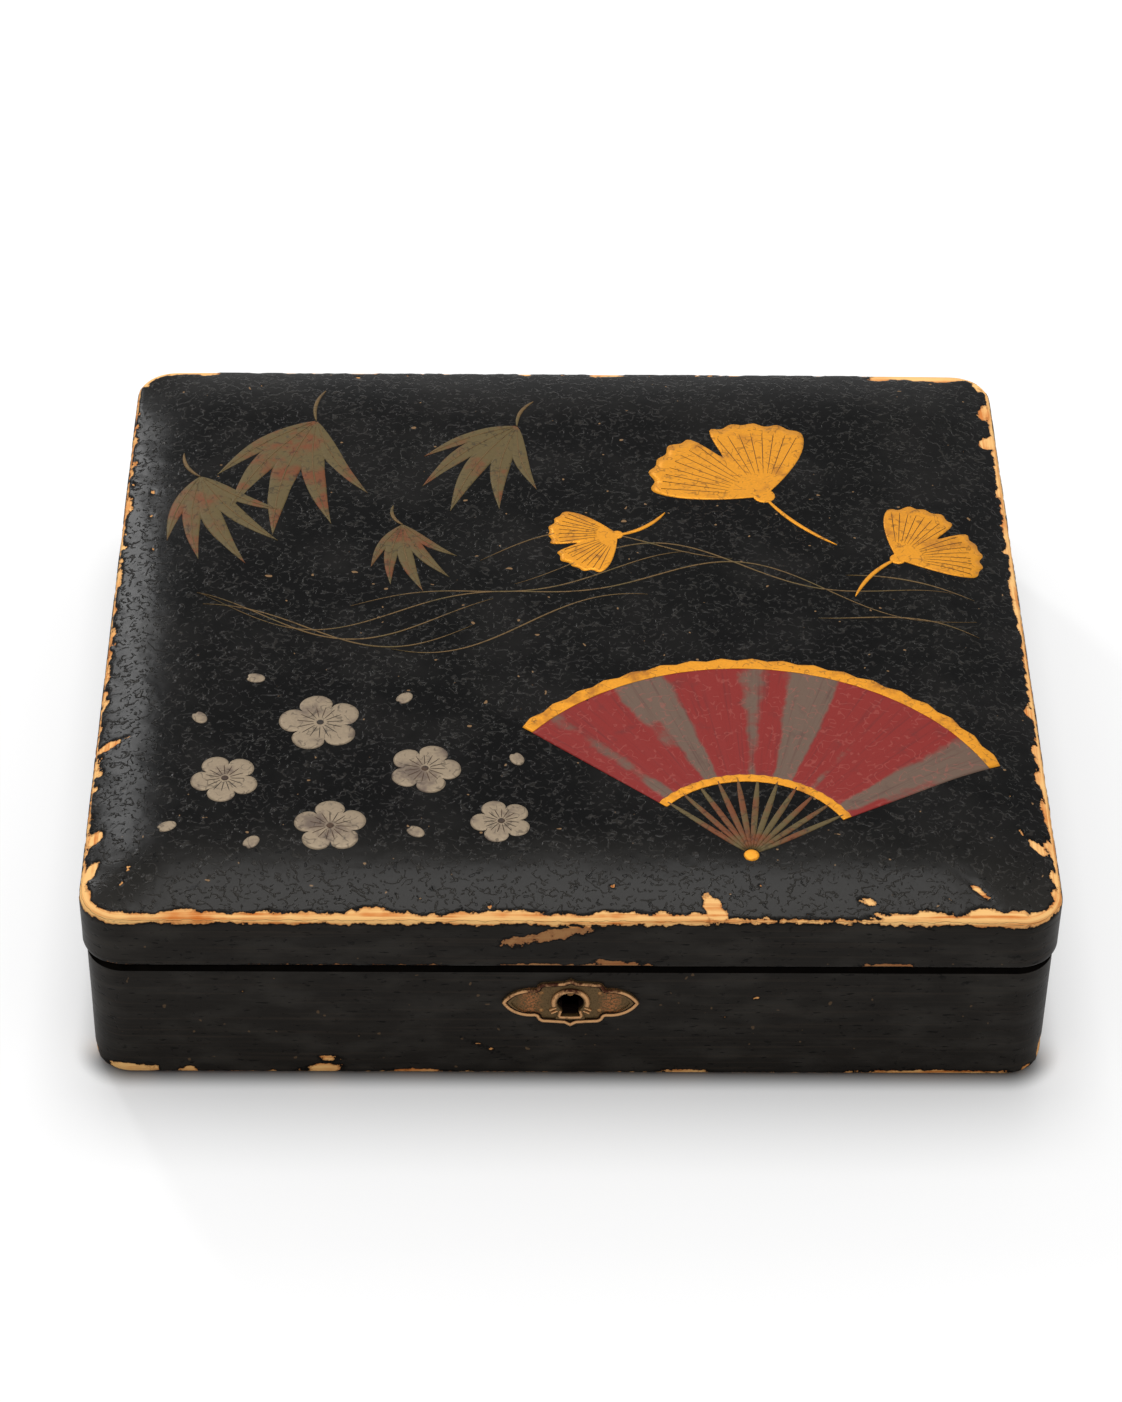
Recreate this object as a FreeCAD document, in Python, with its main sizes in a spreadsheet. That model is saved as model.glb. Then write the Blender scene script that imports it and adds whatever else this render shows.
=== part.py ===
import FreeCAD, Part
import math
import os
import re

import Sketcher

# A lockable Japanese lacquer writing box with its suzuri fittings, in millimetres.
# The box stands on z = 0, centred on the origin. Its front, with the keyhole, faces -Y. +X is on its right.
# The wooden case and the wooden lid are each four mitred boards and one flat board. Two butt hinges join them
# at the back, and a small link lock is let into the front wall. Inside lie an inkstone in its board, a water
# dropper, two brushes in their tray, and an ink stick in the other tray.

Vector = FreeCAD.Vector

SIZES = [
    ("case_width", 248, "outside width of the case, without the lid's overhang"),
    ("case_depth", 230, "outside depth of the case, front to back"),
    ("base_height", 40, "height of the case walls"),
    ("wall_thickness", 9, "thickness of the case walls"),
    ("corner_radius", 10, "outside radius of the case's upright corners"),
    ("inner_radius", 2, "radius of the lacquer fillet in the upright inside corners"),
    ("foot_round", 1.5, "rounding of the bottom arris"),
    ("floor_thickness", 5, "thickness of the bottom board"),
    ("floor_inset", 1, "how far the bottom board lies above the foot of the walls"),
    ("floor_rebate", 4, "how far the bottom board is let into the walls"),
    ("lid_overhang", 1, "how far the lid stands out past the case all round"),
    ("seam_gap", 0.8, "open seam between case and lid"),
    ("lid_rail_height", 11.8, "height of the lid's four rails"),
    ("lid_lip_round", 0.6, "rounding of the lid's lower outside arris"),
    ("panel_edge", 4, "thickness of the lid's top board at its arris"),
    ("arris_bevel", 0.8, "height of the bevel along the lid's upper arris"),
    ("bevel_angle", 45, "angle of that bevel"),
    ("panel_relief", 2.5, "depth of the dished underside of the top board"),
    ("dome_rise", 5, "height of the dome above the arris"),
    ("shoulder_width", 28, "how far the falling shoulder of the dome reaches in from the arris"),
    ("shoulder_fullness", 0.93, "share of the rise that the shoulder's inner end has reached"),
    ("open_angle", 102, "angle at which the two back bevels would meet and stop the lid"),
    ("hinge_recess", 2.5, "how far the hinge axis lies inside the back of the case"),
    ("hinge_length", 32, "length of a hinge"),
    ("hinge_spread", 156, "distance between the middles of the two hinges"),
    ("leaf_margin", 0.3, "distance from a leaf's free edge to the inner face of the back wall"),
    ("leaf_thickness", 1.2, "thickness of the brass plates in the seam"),
    ("brass_gap", 0.1, "gap between the brass of the lid and of the case when shut"),
    ("barrel_radius", 2.2, "outside radius of the hinge barrel"),
    ("hinge_pin_radius", 1.05, "radius of the hinge pin"),
    ("pin_head_length", 0.8, "length of the peened head at each end of a hinge pin"),
    ("running_clearance", 0.05, "radial clearance of a pin or screw in its hole"),
    ("knuckle_gap", 0.2, "gap between neighbouring knuckles"),
    ("barrel_clearance", 0.3, "room round a barrel in the wood"),
    ("let_in", 0.1, "room round brass that is let into wood"),
    ("leaf_screw_inset", 5, "distance from a leaf's end to its nearer screw"),
    ("screw_head_radius", 1.25, "radius of a countersunk head"),
    ("screw_shank_radius", 0.7, "radius of a screw's shank"),
    ("screw_length", 6, "length of a screw"),
    ("screw_point", 1.4, "length of a screw's pointed end"),
    ("driver_slot", 0.35, "width and depth of the slot in a screw's head"),
    ("lock_box_width", 31, "width of the lock's box"),
    ("lock_flange", 3.5, "how far the lock's back plate and selvedge reach past each side of the box"),
    ("lock_plate_lap", 4.3, "how far the lock's back plate reaches below the box"),
    ("lock_sill", 1.95, "height of the metal below the keyhole in the lock's cap"),
    ("lock_box_rim", 1, "thickness of the lock's rim"),
    ("lock_cavity", 4.3, "depth of the lock's works"),
    ("lock_cap_thickness", 1, "thickness of the lock's cap"),
    ("lock_screw_inset", 4, "distance from the lock's screws to the top and the foot of its back plate"),
    ("key_throat", 3, "height of the bolt's bar above the key's axis"),
    ("key_hole_radius", 3.5, "radius of the round head of the keyhole"),
    ("key_slot_waist", 4.2, "width of the keyhole's slot at its waist"),
    ("key_slot_foot", 5.2, "width of the keyhole's slot at its foot"),
    ("key_slot_drop", 4.8, "depth of the slot's foot below the key's axis"),
    ("drill_pin_radius", 0.9, "radius of the pin that the key turns on"),
    ("bolt_drop", 8.75, "distance from the selvedge down to the foot of the bolt's bar"),
    ("bolt_bar_height", 2.2, "height of the bolt's bar"),
    ("bolt_thickness", 2, "thickness of the bolt"),
    ("bolt_throw", 3.5, "how far the bolt slides"),
    ("bolt_post_width", 1.8, "width of the upright of a bolt finger"),
    ("bolt_finger_height", 2.2, "height of a bolt finger"),
    ("bolt_play", 0.3, "room between the bolt and the eyes that it enters"),
    ("talon_width", 4, "width of the notch that the key's bit enters"),
    ("talon_depth", 1.2, "depth of that notch"),
    ("spring_thickness", 0.4, "thickness of the arched spring"),
    ("link_inset", 8.5, "distance from the side of the lock's box to the middle of the nearer link"),
    ("link_thickness", 1.5, "thickness of a link"),
    ("link_wall", 0.7, "width of the metal round a link's eye"),
    ("link_clearance", 0.3, "room round a link in its slot"),
    ("plate_width", 35.2, "width of the escutcheon over its points"),
    ("plate_height", 16.6, "height of the escutcheon over its cusps"),
    ("plate_ground", 0.6, "thickness of the escutcheon's ground"),
    ("plate_border", 0.4, "how far the escutcheon's border stands above its ground"),
    ("border_width", 1, "width of the escutcheon's border"),
    ("wing_start", 9.2, "distance from the middle to the notch where a wing starts"),
    ("wing_half_height", 4.7, "half the height of a wing at its notch"),
    ("crown_reach", 6.2, "distance from the middle to the shoulder of the middle lobe"),
    ("crown_half_height", 6.9, "half the height of the middle lobe at its shoulder"),
    ("cusp_half_width", 1.6, "half the width of the cusp on the middle lobe"),
    ("cusp_rise", 0.35, "height of the cusp's foot above the lobe's shoulder"),
    ("notch_width", 0.5, "width of the notch between a wing and the middle lobe"),
    ("notch_rise", 0.3, "how far the middle lobe starts above the wing"),
    ("wing_bow", 0.85, "radius of a wing's side, as a share of its chord"),
    ("crown_bow", 0.72, "radius of the middle lobe's side, as a share of its chord"),
    ("collar_width", 1.2, "width of the raised collar round the keyhole"),
    ("tack_spread", 15, "distance between the left and the right tacks"),
    ("tack_rise", 6.2, "distance between the upper and the lower tacks"),
    ("tack_head_radius", 0.6, "radius of a tack's round head"),
    ("tack_shank_radius", 0.35, "radius of a tack's shank"),
    ("fitting_gap", 0.5, "room between neighbouring fittings"),
    ("board_width", 104, "width of the inkstone's board"),
    ("board_height", 9, "height of the inkstone's board"),
    ("seat_gap", 0.3, "room round the inkstone and the dropper in their seats"),
    ("stone_width", 74, "width of the inkstone"),
    ("stone_length", 128, "length of the inkstone"),
    ("stone_height", 18, "height of the inkstone"),
    ("stone_seat", 4, "depth of the inkstone's seat"),
    ("stone_corner", 6, "radius of the inkstone's upright corners"),
    ("stone_rim", 6, "width of the inkstone's rim"),
    ("stone_field", 1.8, "depth of the grinding field below the rim"),
    ("stone_well", 9, "depth of the ink well below the rim"),
    ("well_length", 22, "length of the ink well's level floor"),
    ("slope_length", 20, "length of the slope from the grinding field to the well"),
    ("dropper_width", 54, "width of the water dropper"),
    ("dropper_length", 36, "length of the water dropper, front to back"),
    ("dropper_height", 15, "height of the water dropper"),
    ("dropper_corner", 9, "radius of the dropper's upright corners"),
    ("dropper_round", 3.5, "rounding of the dropper's upper edge"),
    ("dropper_shell", 1.5, "thickness of the dropper's sides and bottom"),
    ("dropper_seat", 3, "depth of the dropper's seat"),
    ("spout_radius", 0.9, "radius of the dropper's air hole and spout"),
    ("tray_height", 24, "height of a tray"),
    ("tray_wall", 3, "thickness of a tray's walls and floor"),
    ("tray_corner", 5, "outside radius of a tray's upright corners"),
    ("rest_width", 8, "size of a brush rest, front to back"),
    ("rest_height", 7, "height of a brush rest"),
    ("rest_spread", 110, "distance between the two brush rests"),
    ("brush_spread", 24, "distance between the two brushes"),
    ("brush_lift", 3, "height of a lying brush handle above the tray's floor"),
    ("rest_play", 0.3, "room round a brush handle in its notch"),
    ("large_handle_radius", 4.2, "radius of the large brush's handle"),
    ("large_handle_length", 150, "length of the large brush's handle"),
    ("large_tip_length", 28, "length of the large brush's tip"),
    ("small_handle_radius", 3, "radius of the small brush's handle"),
    ("small_handle_length", 142, "length of the small brush's handle"),
    ("small_tip_length", 20, "length of the small brush's tip"),
    ("handle_waist", 0.92, "radius between a handle's joints, as a share of the radius at them"),
    ("handle_end", 0.7, "radius of a handle's rounded end, as a share"),
    ("first_joint", 0.36, "where a handle's first joint lies, as a share of its length"),
    ("second_joint", 0.74, "where a handle's second joint lies, as a share of its length"),
    ("tip_heel", 0.95, "radius where the hair leaves the handle, as a share of the handle's"),
    ("belly_place", 0.3, "where a tip is fullest, as a share of its length"),
    ("neck_radius", 0.62, "radius of a tip at its neck, as a share of the handle's"),
    ("neck_place", 0.75, "where that neck lies, as a share of the tip's length"),
    ("tip_point", 0.08, "radius of a tip's point, as a share of the handle's"),
    ("stick_width", 16, "width of the ink stick"),
    ("stick_length", 78, "length of the ink stick"),
    ("stick_height", 9, "height of the ink stick"),
    ("stick_gap", 13.5, "distance from the ink stick to the back end of its tray"),
]

doc = FreeCAD.newDocument("suzuri_box")
sheet = doc.addObject("Spreadsheet::Sheet", "Sizes")
for row, (alias, value, meaning) in enumerate(SIZES, start=1):
    sheet.set(f"A{row}", alias)
    sheet.set(f"B{row}", str(value))
    sheet.set(f"C{row}", meaning)
    sheet.setAlias(f"B{row}", alias)
doc.recompute()

PARTS = []
COS_45 = "cos(45)"
# The third axis of each plane, as a sign: a sketch on the XZ plane looks along -Y.
NORMAL = {"XY_Plane": 1, "XZ_Plane": -1, "YZ_Plane": 1}


def bound(expression):
    """The expression with each size's alias led by the sheet's name."""
    return re.sub(r"[a-z]+(?:_[a-z]+)+", r"Sizes.\g<0>", expression)


def number(expression):
    """The expression's value for the sizes in the sheet."""
    return float(sheet.evalExpression(bound(expression)))


def part(name):
    """A new sub-part: a body whose label names its file."""
    body = doc.addObject("PartDesign::Body", name)
    body.Label = name
    body.AllowCompound = True
    PARTS.append(body)
    return body


def axis_of(body, role):
    """One of the body's own origin planes or axes."""
    return next(feature for feature in body.Origin.OriginFeatures if feature.Role == role)


def drawing(body, plane, level, right="0", up="0"):
    """A sketch on the body's own plane, at a level along the third axis, its origin moved right and up."""
    sketch = body.newObject("Sketcher::SketchObject", "drawing")
    sketch.AttachmentSupport = (axis_of(body, plane), [""])
    sketch.MapMode = "FlatFace"
    sketch.setExpression("AttachmentOffset.Base.x", bound(right))
    sketch.setExpression("AttachmentOffset.Base.y", bound(up))
    sketch.setExpression("AttachmentOffset.Base.z", bound(f"{NORMAL[plane]} * ({level})"))
    return sketch


def pin_down(sketch, kind, geometry, point, expression):
    """Binds a point's distance from the sketch's origin to an expression."""
    index = sketch.addConstraint(Sketcher.Constraint(kind, -1, 1, geometry, point, number(expression)))
    sketch.renameConstraint(index, f"size{index}")
    sketch.setExpression(f"Constraints.size{index}", bound(expression))


def set_radius(sketch, geometry, expression):
    """Binds the radius of a circle or an arc to an expression."""
    index = sketch.addConstraint(Sketcher.Constraint("Radius", geometry, number(expression)))
    sketch.renameConstraint(index, f"size{index}")
    sketch.setExpression(f"Constraints.size{index}", bound(expression))


def arc_through(start, end, radius, bulge):
    """The shorter arc between two points, bulging out, right of travel, or in, left of travel.

    It always runs counter-clockwise, so an arc that bulges in is drawn from its end."""
    chord = end - start
    half = chord.Length / 2
    rise = radius - math.sqrt(max(radius**2 - half**2, 0))
    right = Vector(chord.y, -chord.x, 0).normalize()
    if bulge == "out":
        return Part.Arc(start, (start + end) / 2 + right * rise, end)
    return Part.Arc(end, (start + end) / 2 - right * rise, start)


def outline(sketch, points):
    """Draws a closed outline, counter-clockwise.

    Each point is x and y, and if an arc starts there, its radius and bulge."""
    places = [Vector(number(point[0]), number(point[1]), 0) for point in points]
    first = sketch.GeometryCount
    for index, point in enumerate(points):
        start = places[index]
        end = places[(index + 1) % len(places)]
        if len(point) == 4:
            sketch.addGeometry(arc_through(start, end, number(point[2]), point[3]))
        else:
            sketch.addGeometry(Part.LineSegment(start, end))

    def nearer_end(geometry, place):
        curve = sketch.Geometry[geometry]
        return 1 if (curve.StartPoint - place).Length < (curve.EndPoint - place).Length else 2

    for index, point in enumerate(points):
        side = first + index
        before = first + (index - 1) % len(points)
        starts = nearer_end(side, places[index])
        ends = nearer_end(before, places[index])
        sketch.addConstraint(Sketcher.Constraint("Coincident", before, ends, side, starts))
        pin_down(sketch, "DistanceX", side, starts, point[0])
        pin_down(sketch, "DistanceY", side, starts, point[1])
        if len(point) == 4:
            set_radius(sketch, side, point[2])


def rectangle(sketch, left, right, low, high):
    """Draws a rectangle between expressions."""
    outline(sketch, [(left, low), (right, low), (right, high), (left, high)])


def rounded_rectangle(sketch, left, right, low, high, radius):
    """Draws a rectangle whose four corners have a radius."""
    arc = (f"({radius})", "out")
    outline(
        sketch,
        [
            (f"{left} + {radius}", low),
            (f"{right} - {radius}", low, *arc),
            (right, f"{low} + {radius}"),
            (right, f"{high} - {radius}", *arc),
            (f"{right} - {radius}", high),
            (f"{left} + {radius}", high, *arc),
            (left, f"{high} - {radius}"),
            (left, f"{low} + {radius}", *arc),
        ],
    )


def circle(sketch, x, y, radius):
    """Draws a circle."""
    middle = Vector(number(x), number(y), 0)
    geometry = sketch.addGeometry(Part.Circle(middle, Vector(0, 0, 1), number(radius)))
    pin_down(sketch, "DistanceX", geometry, 3, x)
    pin_down(sketch, "DistanceY", geometry, 3, y)
    set_radius(sketch, geometry, radius)


def add(body, plane, low, high, draw, *shape):
    """Adds a drawn shape between two levels along the plane's third axis."""
    sketch = drawing(body, plane, low if NORMAL[plane] > 0 else high)
    draw(sketch, *shape)
    pad = body.newObject("PartDesign::Pad", "pad")
    pad.Profile = sketch
    pad.setExpression("Length", bound(f"({high}) - ({low})"))
    doc.recompute()
    return pad


def cut(body, plane, low, high, draw, *shape):
    """Cuts a drawn shape out between two levels along the plane's third axis, and makes sure that it cut."""
    before = body.Shape.Volume
    sketch = drawing(body, plane, high if NORMAL[plane] > 0 else low)
    draw(sketch, *shape)
    pocket = body.newObject("PartDesign::Pocket", "pocket")
    pocket.Profile = sketch
    pocket.setExpression("Length", bound(f"({high}) - ({low})"))
    doc.recompute()
    if body.Shape.Volume >= before:
        raise RuntimeError(f"a cut in {body.Label} removed nothing")
    return pocket


def turn(body, plane, level, right, up, profile):
    """Turns a half profile about the upright axis of its sketch."""
    sketch = drawing(body, plane, level, right, up)
    outline(sketch, profile)
    feature = body.newObject("PartDesign::Revolution", "turned")
    feature.Profile = sketch
    feature.ReferenceAxis = (sketch, ["V_Axis"])
    feature.Angle = 360
    doc.recompute()
    return feature


def dress(body, kind, size, wanted):
    """Rounds or chamfers those edges of the body that wanted() picks."""
    base = body.Tip
    names = [f"Edge{i}" for i, edge in enumerate(base.Shape.Edges, start=1) if wanted(edge)]
    feature = body.newObject(kind, "edges")
    feature.Base = (base, names)
    feature.setExpression("Radius" if kind == "PartDesign::Fillet" else "Size", bound(size))
    doc.recompute()
    return feature


def near(value, expression):
    """Whether a length is the expression's, to a thousandth of a millimetre."""
    return abs(value - number(expression)) < 1e-3


def at_height(expression):
    """Picks the edges that lie level at a height."""
    return lambda edge: all(near(vertex.Z, expression) for vertex in edge.Vertexes)


def place(body, height="0", angle=0):
    """Lifts a finished sub-part and turns it about the box's upright axis."""
    body.Placement = FreeCAD.Placement(Vector(), FreeCAD.Rotation(Vector(0, 0, 1), angle))
    body.setExpression("Placement.Base.z", bound(height))
    doc.recompute()


# Places that several sub-parts share.
INNER_HALF_WIDTH = "(case_width / 2 - wall_thickness)"
INNER_HALF_DEPTH = "(case_depth / 2 - wall_thickness)"
FLOOR_TOP = "(floor_inset + floor_thickness)"
LID_FOOT = "(base_height + seam_gap)"
RAIL_TOP = f"({LID_FOOT} + lid_rail_height)"
LID_HALF_WIDTH = "(case_width / 2 + lid_overhang)"
LID_HALF_DEPTH = "(case_depth / 2 + lid_overhang)"
LID_WALL = "(wall_thickness + lid_overhang)"
LID_RADIUS = "(corner_radius + lid_overhang)"
SEAM_MIDDLE = "(base_height + seam_gap / 2)"
HINGE_AXIS = "(case_depth / 2 - hinge_recess)"
BASE_BRASS_TOP = f"({SEAM_MIDDLE} - brass_gap / 2)"
BASE_BRASS_FOOT = f"({BASE_BRASS_TOP} - leaf_thickness)"
LID_BRASS_FOOT = f"({SEAM_MIDDLE} + brass_gap / 2)"
LID_BRASS_TOP = f"({LID_BRASS_FOOT} + leaf_thickness)"
LEAF_EDGE = f"({INNER_HALF_DEPTH} + leaf_margin)"
LEAF_BACK = f"({HINGE_AXIS} - barrel_radius - barrel_clearance)"
LEAF_SCREW_LINE = f"(({LEAF_EDGE} + {LEAF_BACK}) / 2)"
LEAF_SCREW_SPREAD = "(hinge_length - 2 * leaf_screw_inset)"
COUNTERSINK = "(screw_head_radius - screw_shank_radius)"
HOLE_RADIUS = "(screw_shank_radius + running_clearance)"
HOLE_DEPTH = "(screw_length + let_in)"


def screws(name, plane, head, seats, downward, line):
    """A group of countersunk screws on one line, with their heads flush at one level of the upright axis.

    seats are the places along the plane's first axis, and line is the third axis's level."""
    body = part(name)
    sign = "-" if downward else ""
    neck = "screw_shank_radius"
    for seat in seats:
        profile = [
            ("0", "0"),
            ("screw_head_radius", "0"),
            (neck, f"{sign}{COUNTERSINK}"),
            (neck, f"{sign}(screw_length - screw_point)"),
            ("0", f"{sign}screw_length"),
        ]
        if downward:
            profile.reverse()
        turn(body, plane, line, seat, head, profile)
    inside = f"{head} {'-' if downward else '+'} driver_slot"
    low, high = (inside, head) if downward else (head, inside)
    for seat in seats:
        slot = (f"{seat} - screw_head_radius", f"{seat} + screw_head_radius", low, high)
        half = "driver_slot / 2"
        cut(body, plane, f"{line} - {half}", f"{line} + {half}", rectangle, *slot)
    return body


def countersunk_holes(body, plane, low, high, face, spots):
    """Screw holes through a brass plate, chamfered at the face that the heads lie in."""
    for x, y in spots:
        cut(body, plane, low, high, circle, x, y, HOLE_RADIUS)
    axis = {"XY_Plane": 2, "XZ_Plane": 1}[plane]

    def rim(edge):
        curve = edge.Curve
        if curve.TypeId != "Part::GeomCircle" or not near(curve.Radius, HOLE_RADIUS):
            return False
        return near(curve.Center[axis], face)

    dress(body, "PartDesign::Chamfer", COUNTERSINK, rim)


def mitred_board(name, half_length, reach, thickness, height, radius):
    """One side of a mitred frame, lying towards -Y with its foot on z = 0 and its outer face at -reach."""
    body = part(name)
    outer_drop = f"{radius} * (1 - {COS_45})"
    inner_corner = f"{thickness} + inner_radius * (1 - {COS_45})"
    outer_arc = (radius, "out")
    inner_arc = ("inner_radius", "in")
    plan = [
        (f"-{half_length} + {outer_drop}", f"-{reach} + {outer_drop}", *outer_arc),
        (f"-{half_length} + {radius}", f"-{reach}"),
        (f"{half_length} - {radius}", f"-{reach}", *outer_arc),
        (f"{half_length} - {outer_drop}", f"-{reach} + {outer_drop}"),
        (f"{half_length} - ({inner_corner})", f"-{reach} + {inner_corner}", *inner_arc),
        (f"{half_length} - {thickness} - inner_radius", f"-{reach} + {thickness}"),
        (f"-{half_length} + {thickness} + inner_radius", f"-{reach} + {thickness}", *inner_arc),
        (f"-{half_length} + {inner_corner}", f"-{reach} + {inner_corner}"),
    ]
    add(body, "XY_Plane", "0", height, outline, plan)
    return body


def outer_foot(reach, thickness):
    """Picks the edges at a mitred board's outer foot."""
    limit = -number(reach) + 0.6 * number(thickness)
    return lambda edge: all(near(vertex.Z, "0") and vertex.Y < limit for vertex in edge.Vertexes)


def case_board(name, half_length, reach):
    """A wall of the case, with its rounded foot and the rebate for the bottom board."""
    body = mitred_board(name, half_length, reach, "wall_thickness", "base_height", "corner_radius")
    dress(body, "PartDesign::Fillet", "foot_round", outer_foot(reach, "wall_thickness"))
    rebate_reach = f"-{reach} + wall_thickness - floor_rebate"
    past = f"-{reach} + wall_thickness + corner_radius"
    rebate = (f"-{half_length}", half_length, rebate_reach, past)
    cut(body, "XY_Plane", "0", FLOOR_TOP, rectangle, *rebate)
    return body


def lid_board(name, half_length, reach):
    """A rail of the lid, with its rounded lip."""
    body = mitred_board(name, half_length, reach, LID_WALL, "lid_rail_height", LID_RADIUS)
    dress(body, "PartDesign::Fillet", "lid_lip_round", outer_foot(reach, LID_WALL))
    return body


def keyhole(sketch, margin="0"):
    """Draws the keyhole, a round head with a flared slot below it, or its outline further out by a margin."""
    head = f"(key_hole_radius + {margin})"
    waist = f"(key_slot_waist / 2 + {margin})"
    foot = f"(key_slot_foot / 2 + {margin})"
    waist_height = f"({KEY_HEIGHT} - sqrt({head} ^ 2 - {waist} ^ 2))"
    foot_height = f"({KEY_HEIGHT} - key_slot_drop - {margin})"
    arc = (head, "out")
    outline(
        sketch,
        [
            (f"-{foot}", foot_height),
            (foot, foot_height),
            (waist, waist_height, *arc),
            (head, KEY_HEIGHT, *arc),
            ("0", f"{KEY_HEIGHT} + {head}", *arc),
            (f"-{head}", KEY_HEIGHT, *arc),
            (f"-{waist}", waist_height),
        ],
    )


# The lock's places: the wall's inner face, then plate, works and cap, each further out.
LOCK_INNER = f"(-{INNER_HALF_DEPTH})"
LOCK_PLATE_FRONT = f"({LOCK_INNER} - leaf_thickness)"
LOCK_WORKS_FRONT = f"({LOCK_PLATE_FRONT} - lock_cavity)"
LOCK_CAP_FRONT = f"({LOCK_WORKS_FRONT} - lock_cap_thickness)"
WORKS_MIDDLE = f"({LOCK_PLATE_FRONT} - lock_cavity / 2)"
BOLT_FOOT = f"({BASE_BRASS_FOOT} - bolt_drop)"
BOLT_BAR_TOP = f"({BOLT_FOOT} + bolt_bar_height)"
KEY_HEIGHT = f"({BOLT_FOOT} - key_throat)"
LOCK_BOX_FOOT = f"({KEY_HEIGHT} - key_slot_drop - lock_sill)"
LOCK_PLATE_FOOT = f"({LOCK_BOX_FOOT} - lock_plate_lap)"
LOCK_BOX_HALF = "(lock_box_width / 2)"
LOCK_PLATE_HALF = f"({LOCK_BOX_HALF} + lock_flange)"
LOCK_SCREW_SPOTS = [
    (f"({side} * ({LOCK_BOX_HALF} + lock_flange / 2))", height)
    for side in (-1, 1)
    for height in (f"({LOCK_PLATE_FOOT} + lock_screw_inset)", f"({BASE_BRASS_FOOT} - lock_screw_inset)")
]
LINK_OFFSET = f"({LOCK_BOX_HALF} - link_inset)"
LINK_MIDDLES = [f"(-{LINK_OFFSET})", LINK_OFFSET]
LINK_SCREW_OFFSET = f"(({LINK_OFFSET} + {LOCK_PLATE_HALF}) / 2)"
LINK_SCREW_SEATS = [f"(-{LINK_SCREW_OFFSET})", LINK_SCREW_OFFSET]
# The links hang through the selvedge and end just above the bolt's bar.
LINK_FOOT = f"({BOLT_BAR_TOP} + bolt_play)"
EYE_FOOT = f"({LINK_FOOT} + link_wall)"
EYE_TOP = f"({EYE_FOOT} + bolt_finger_height + 2 * bolt_play)"
EYE_HALF = "(bolt_thickness / 2 + bolt_play)"
LINK_HALF = f"({EYE_HALF} + link_wall)"

# The escutcheon's places. Its tacks end in the wood between the wall's face and the lock's cap.
CASE_FRONT = "(-case_depth / 2)"
PLATE_GROUND = f"({CASE_FRONT} - plate_ground)"
PLATE_FRONT = f"({PLATE_GROUND} - plate_border)"
TACK_TIP = f"({LOCK_CAP_FRONT} - 3 * let_in)"
TACK_HOLE = "(tack_shank_radius + running_clearance)"
TACK_SPOTS = [
    (f"({side} * tack_spread / 2)", f"({KEY_HEIGHT} {rise} tack_rise / 2)")
    for side in (-1, 1)
    for rise in ("-", "+")
]

# Places of the fittings inside the case.
FITTING_HALF_LENGTH = f"({INNER_HALF_DEPTH} - fitting_gap)"
SEAT_SPACE = f"((2 * {FITTING_HALF_LENGTH} - stone_length - dropper_length) / 3)"
STONE_MIDDLE = f"({SEAT_SPACE} + stone_length / 2 - {FITTING_HALF_LENGTH})"
DROPPER_MIDDLE = f"({FITTING_HALF_LENGTH} - {SEAT_SPACE} - dropper_length / 2)"
TRAY_INNER_SIDE = "(board_width / 2 + fitting_gap)"
TRAY_WIDTH = f"({INNER_HALF_WIDTH} - fitting_gap - {TRAY_INNER_SIDE})"
TRAY_MIDDLE = f"({TRAY_INNER_SIDE} + {TRAY_WIDTH} / 2)"
TRAY_FLOOR = f"({FLOOR_TOP} + tray_wall)"
BRUSHES = [("large", "-"), ("small", "+")]
HINGES = [("left", "(-hinge_spread / 2)"), ("right", "(hinge_spread / 2)")]


def leaf_screw_seats(middle):
    """Where the two screws of a hinge leaf stand along X."""
    return [f"({middle} - {LEAF_SCREW_SPREAD} / 2)", f"({middle} + {LEAF_SCREW_SPREAD} / 2)"]


def make_case():
    """The four walls and the bottom board of the case."""
    half_width = "(case_width / 2)"
    half_depth = "(case_depth / 2)"
    left = case_board("base_left_wall", half_depth, half_width)
    right = case_board("base_right_wall", half_depth, half_width)
    back = case_board("base_back_wall", half_width, half_depth)
    front = case_board("base_front_wall", half_width, half_depth)
    make_lock_mortise(front)
    make_hinge_bed(back, half_depth)
    place(right, angle=90)
    place(back, angle=180)
    place(left, angle=270)

    floor = part("base_floor")
    across = f"({INNER_HALF_WIDTH} + floor_rebate)"
    along = f"({INNER_HALF_DEPTH} + floor_rebate)"
    board = (f"-{across}", across, f"-{along}", along)
    add(floor, "XY_Plane", "floor_inset", FLOOR_TOP, rectangle, *board)


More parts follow.
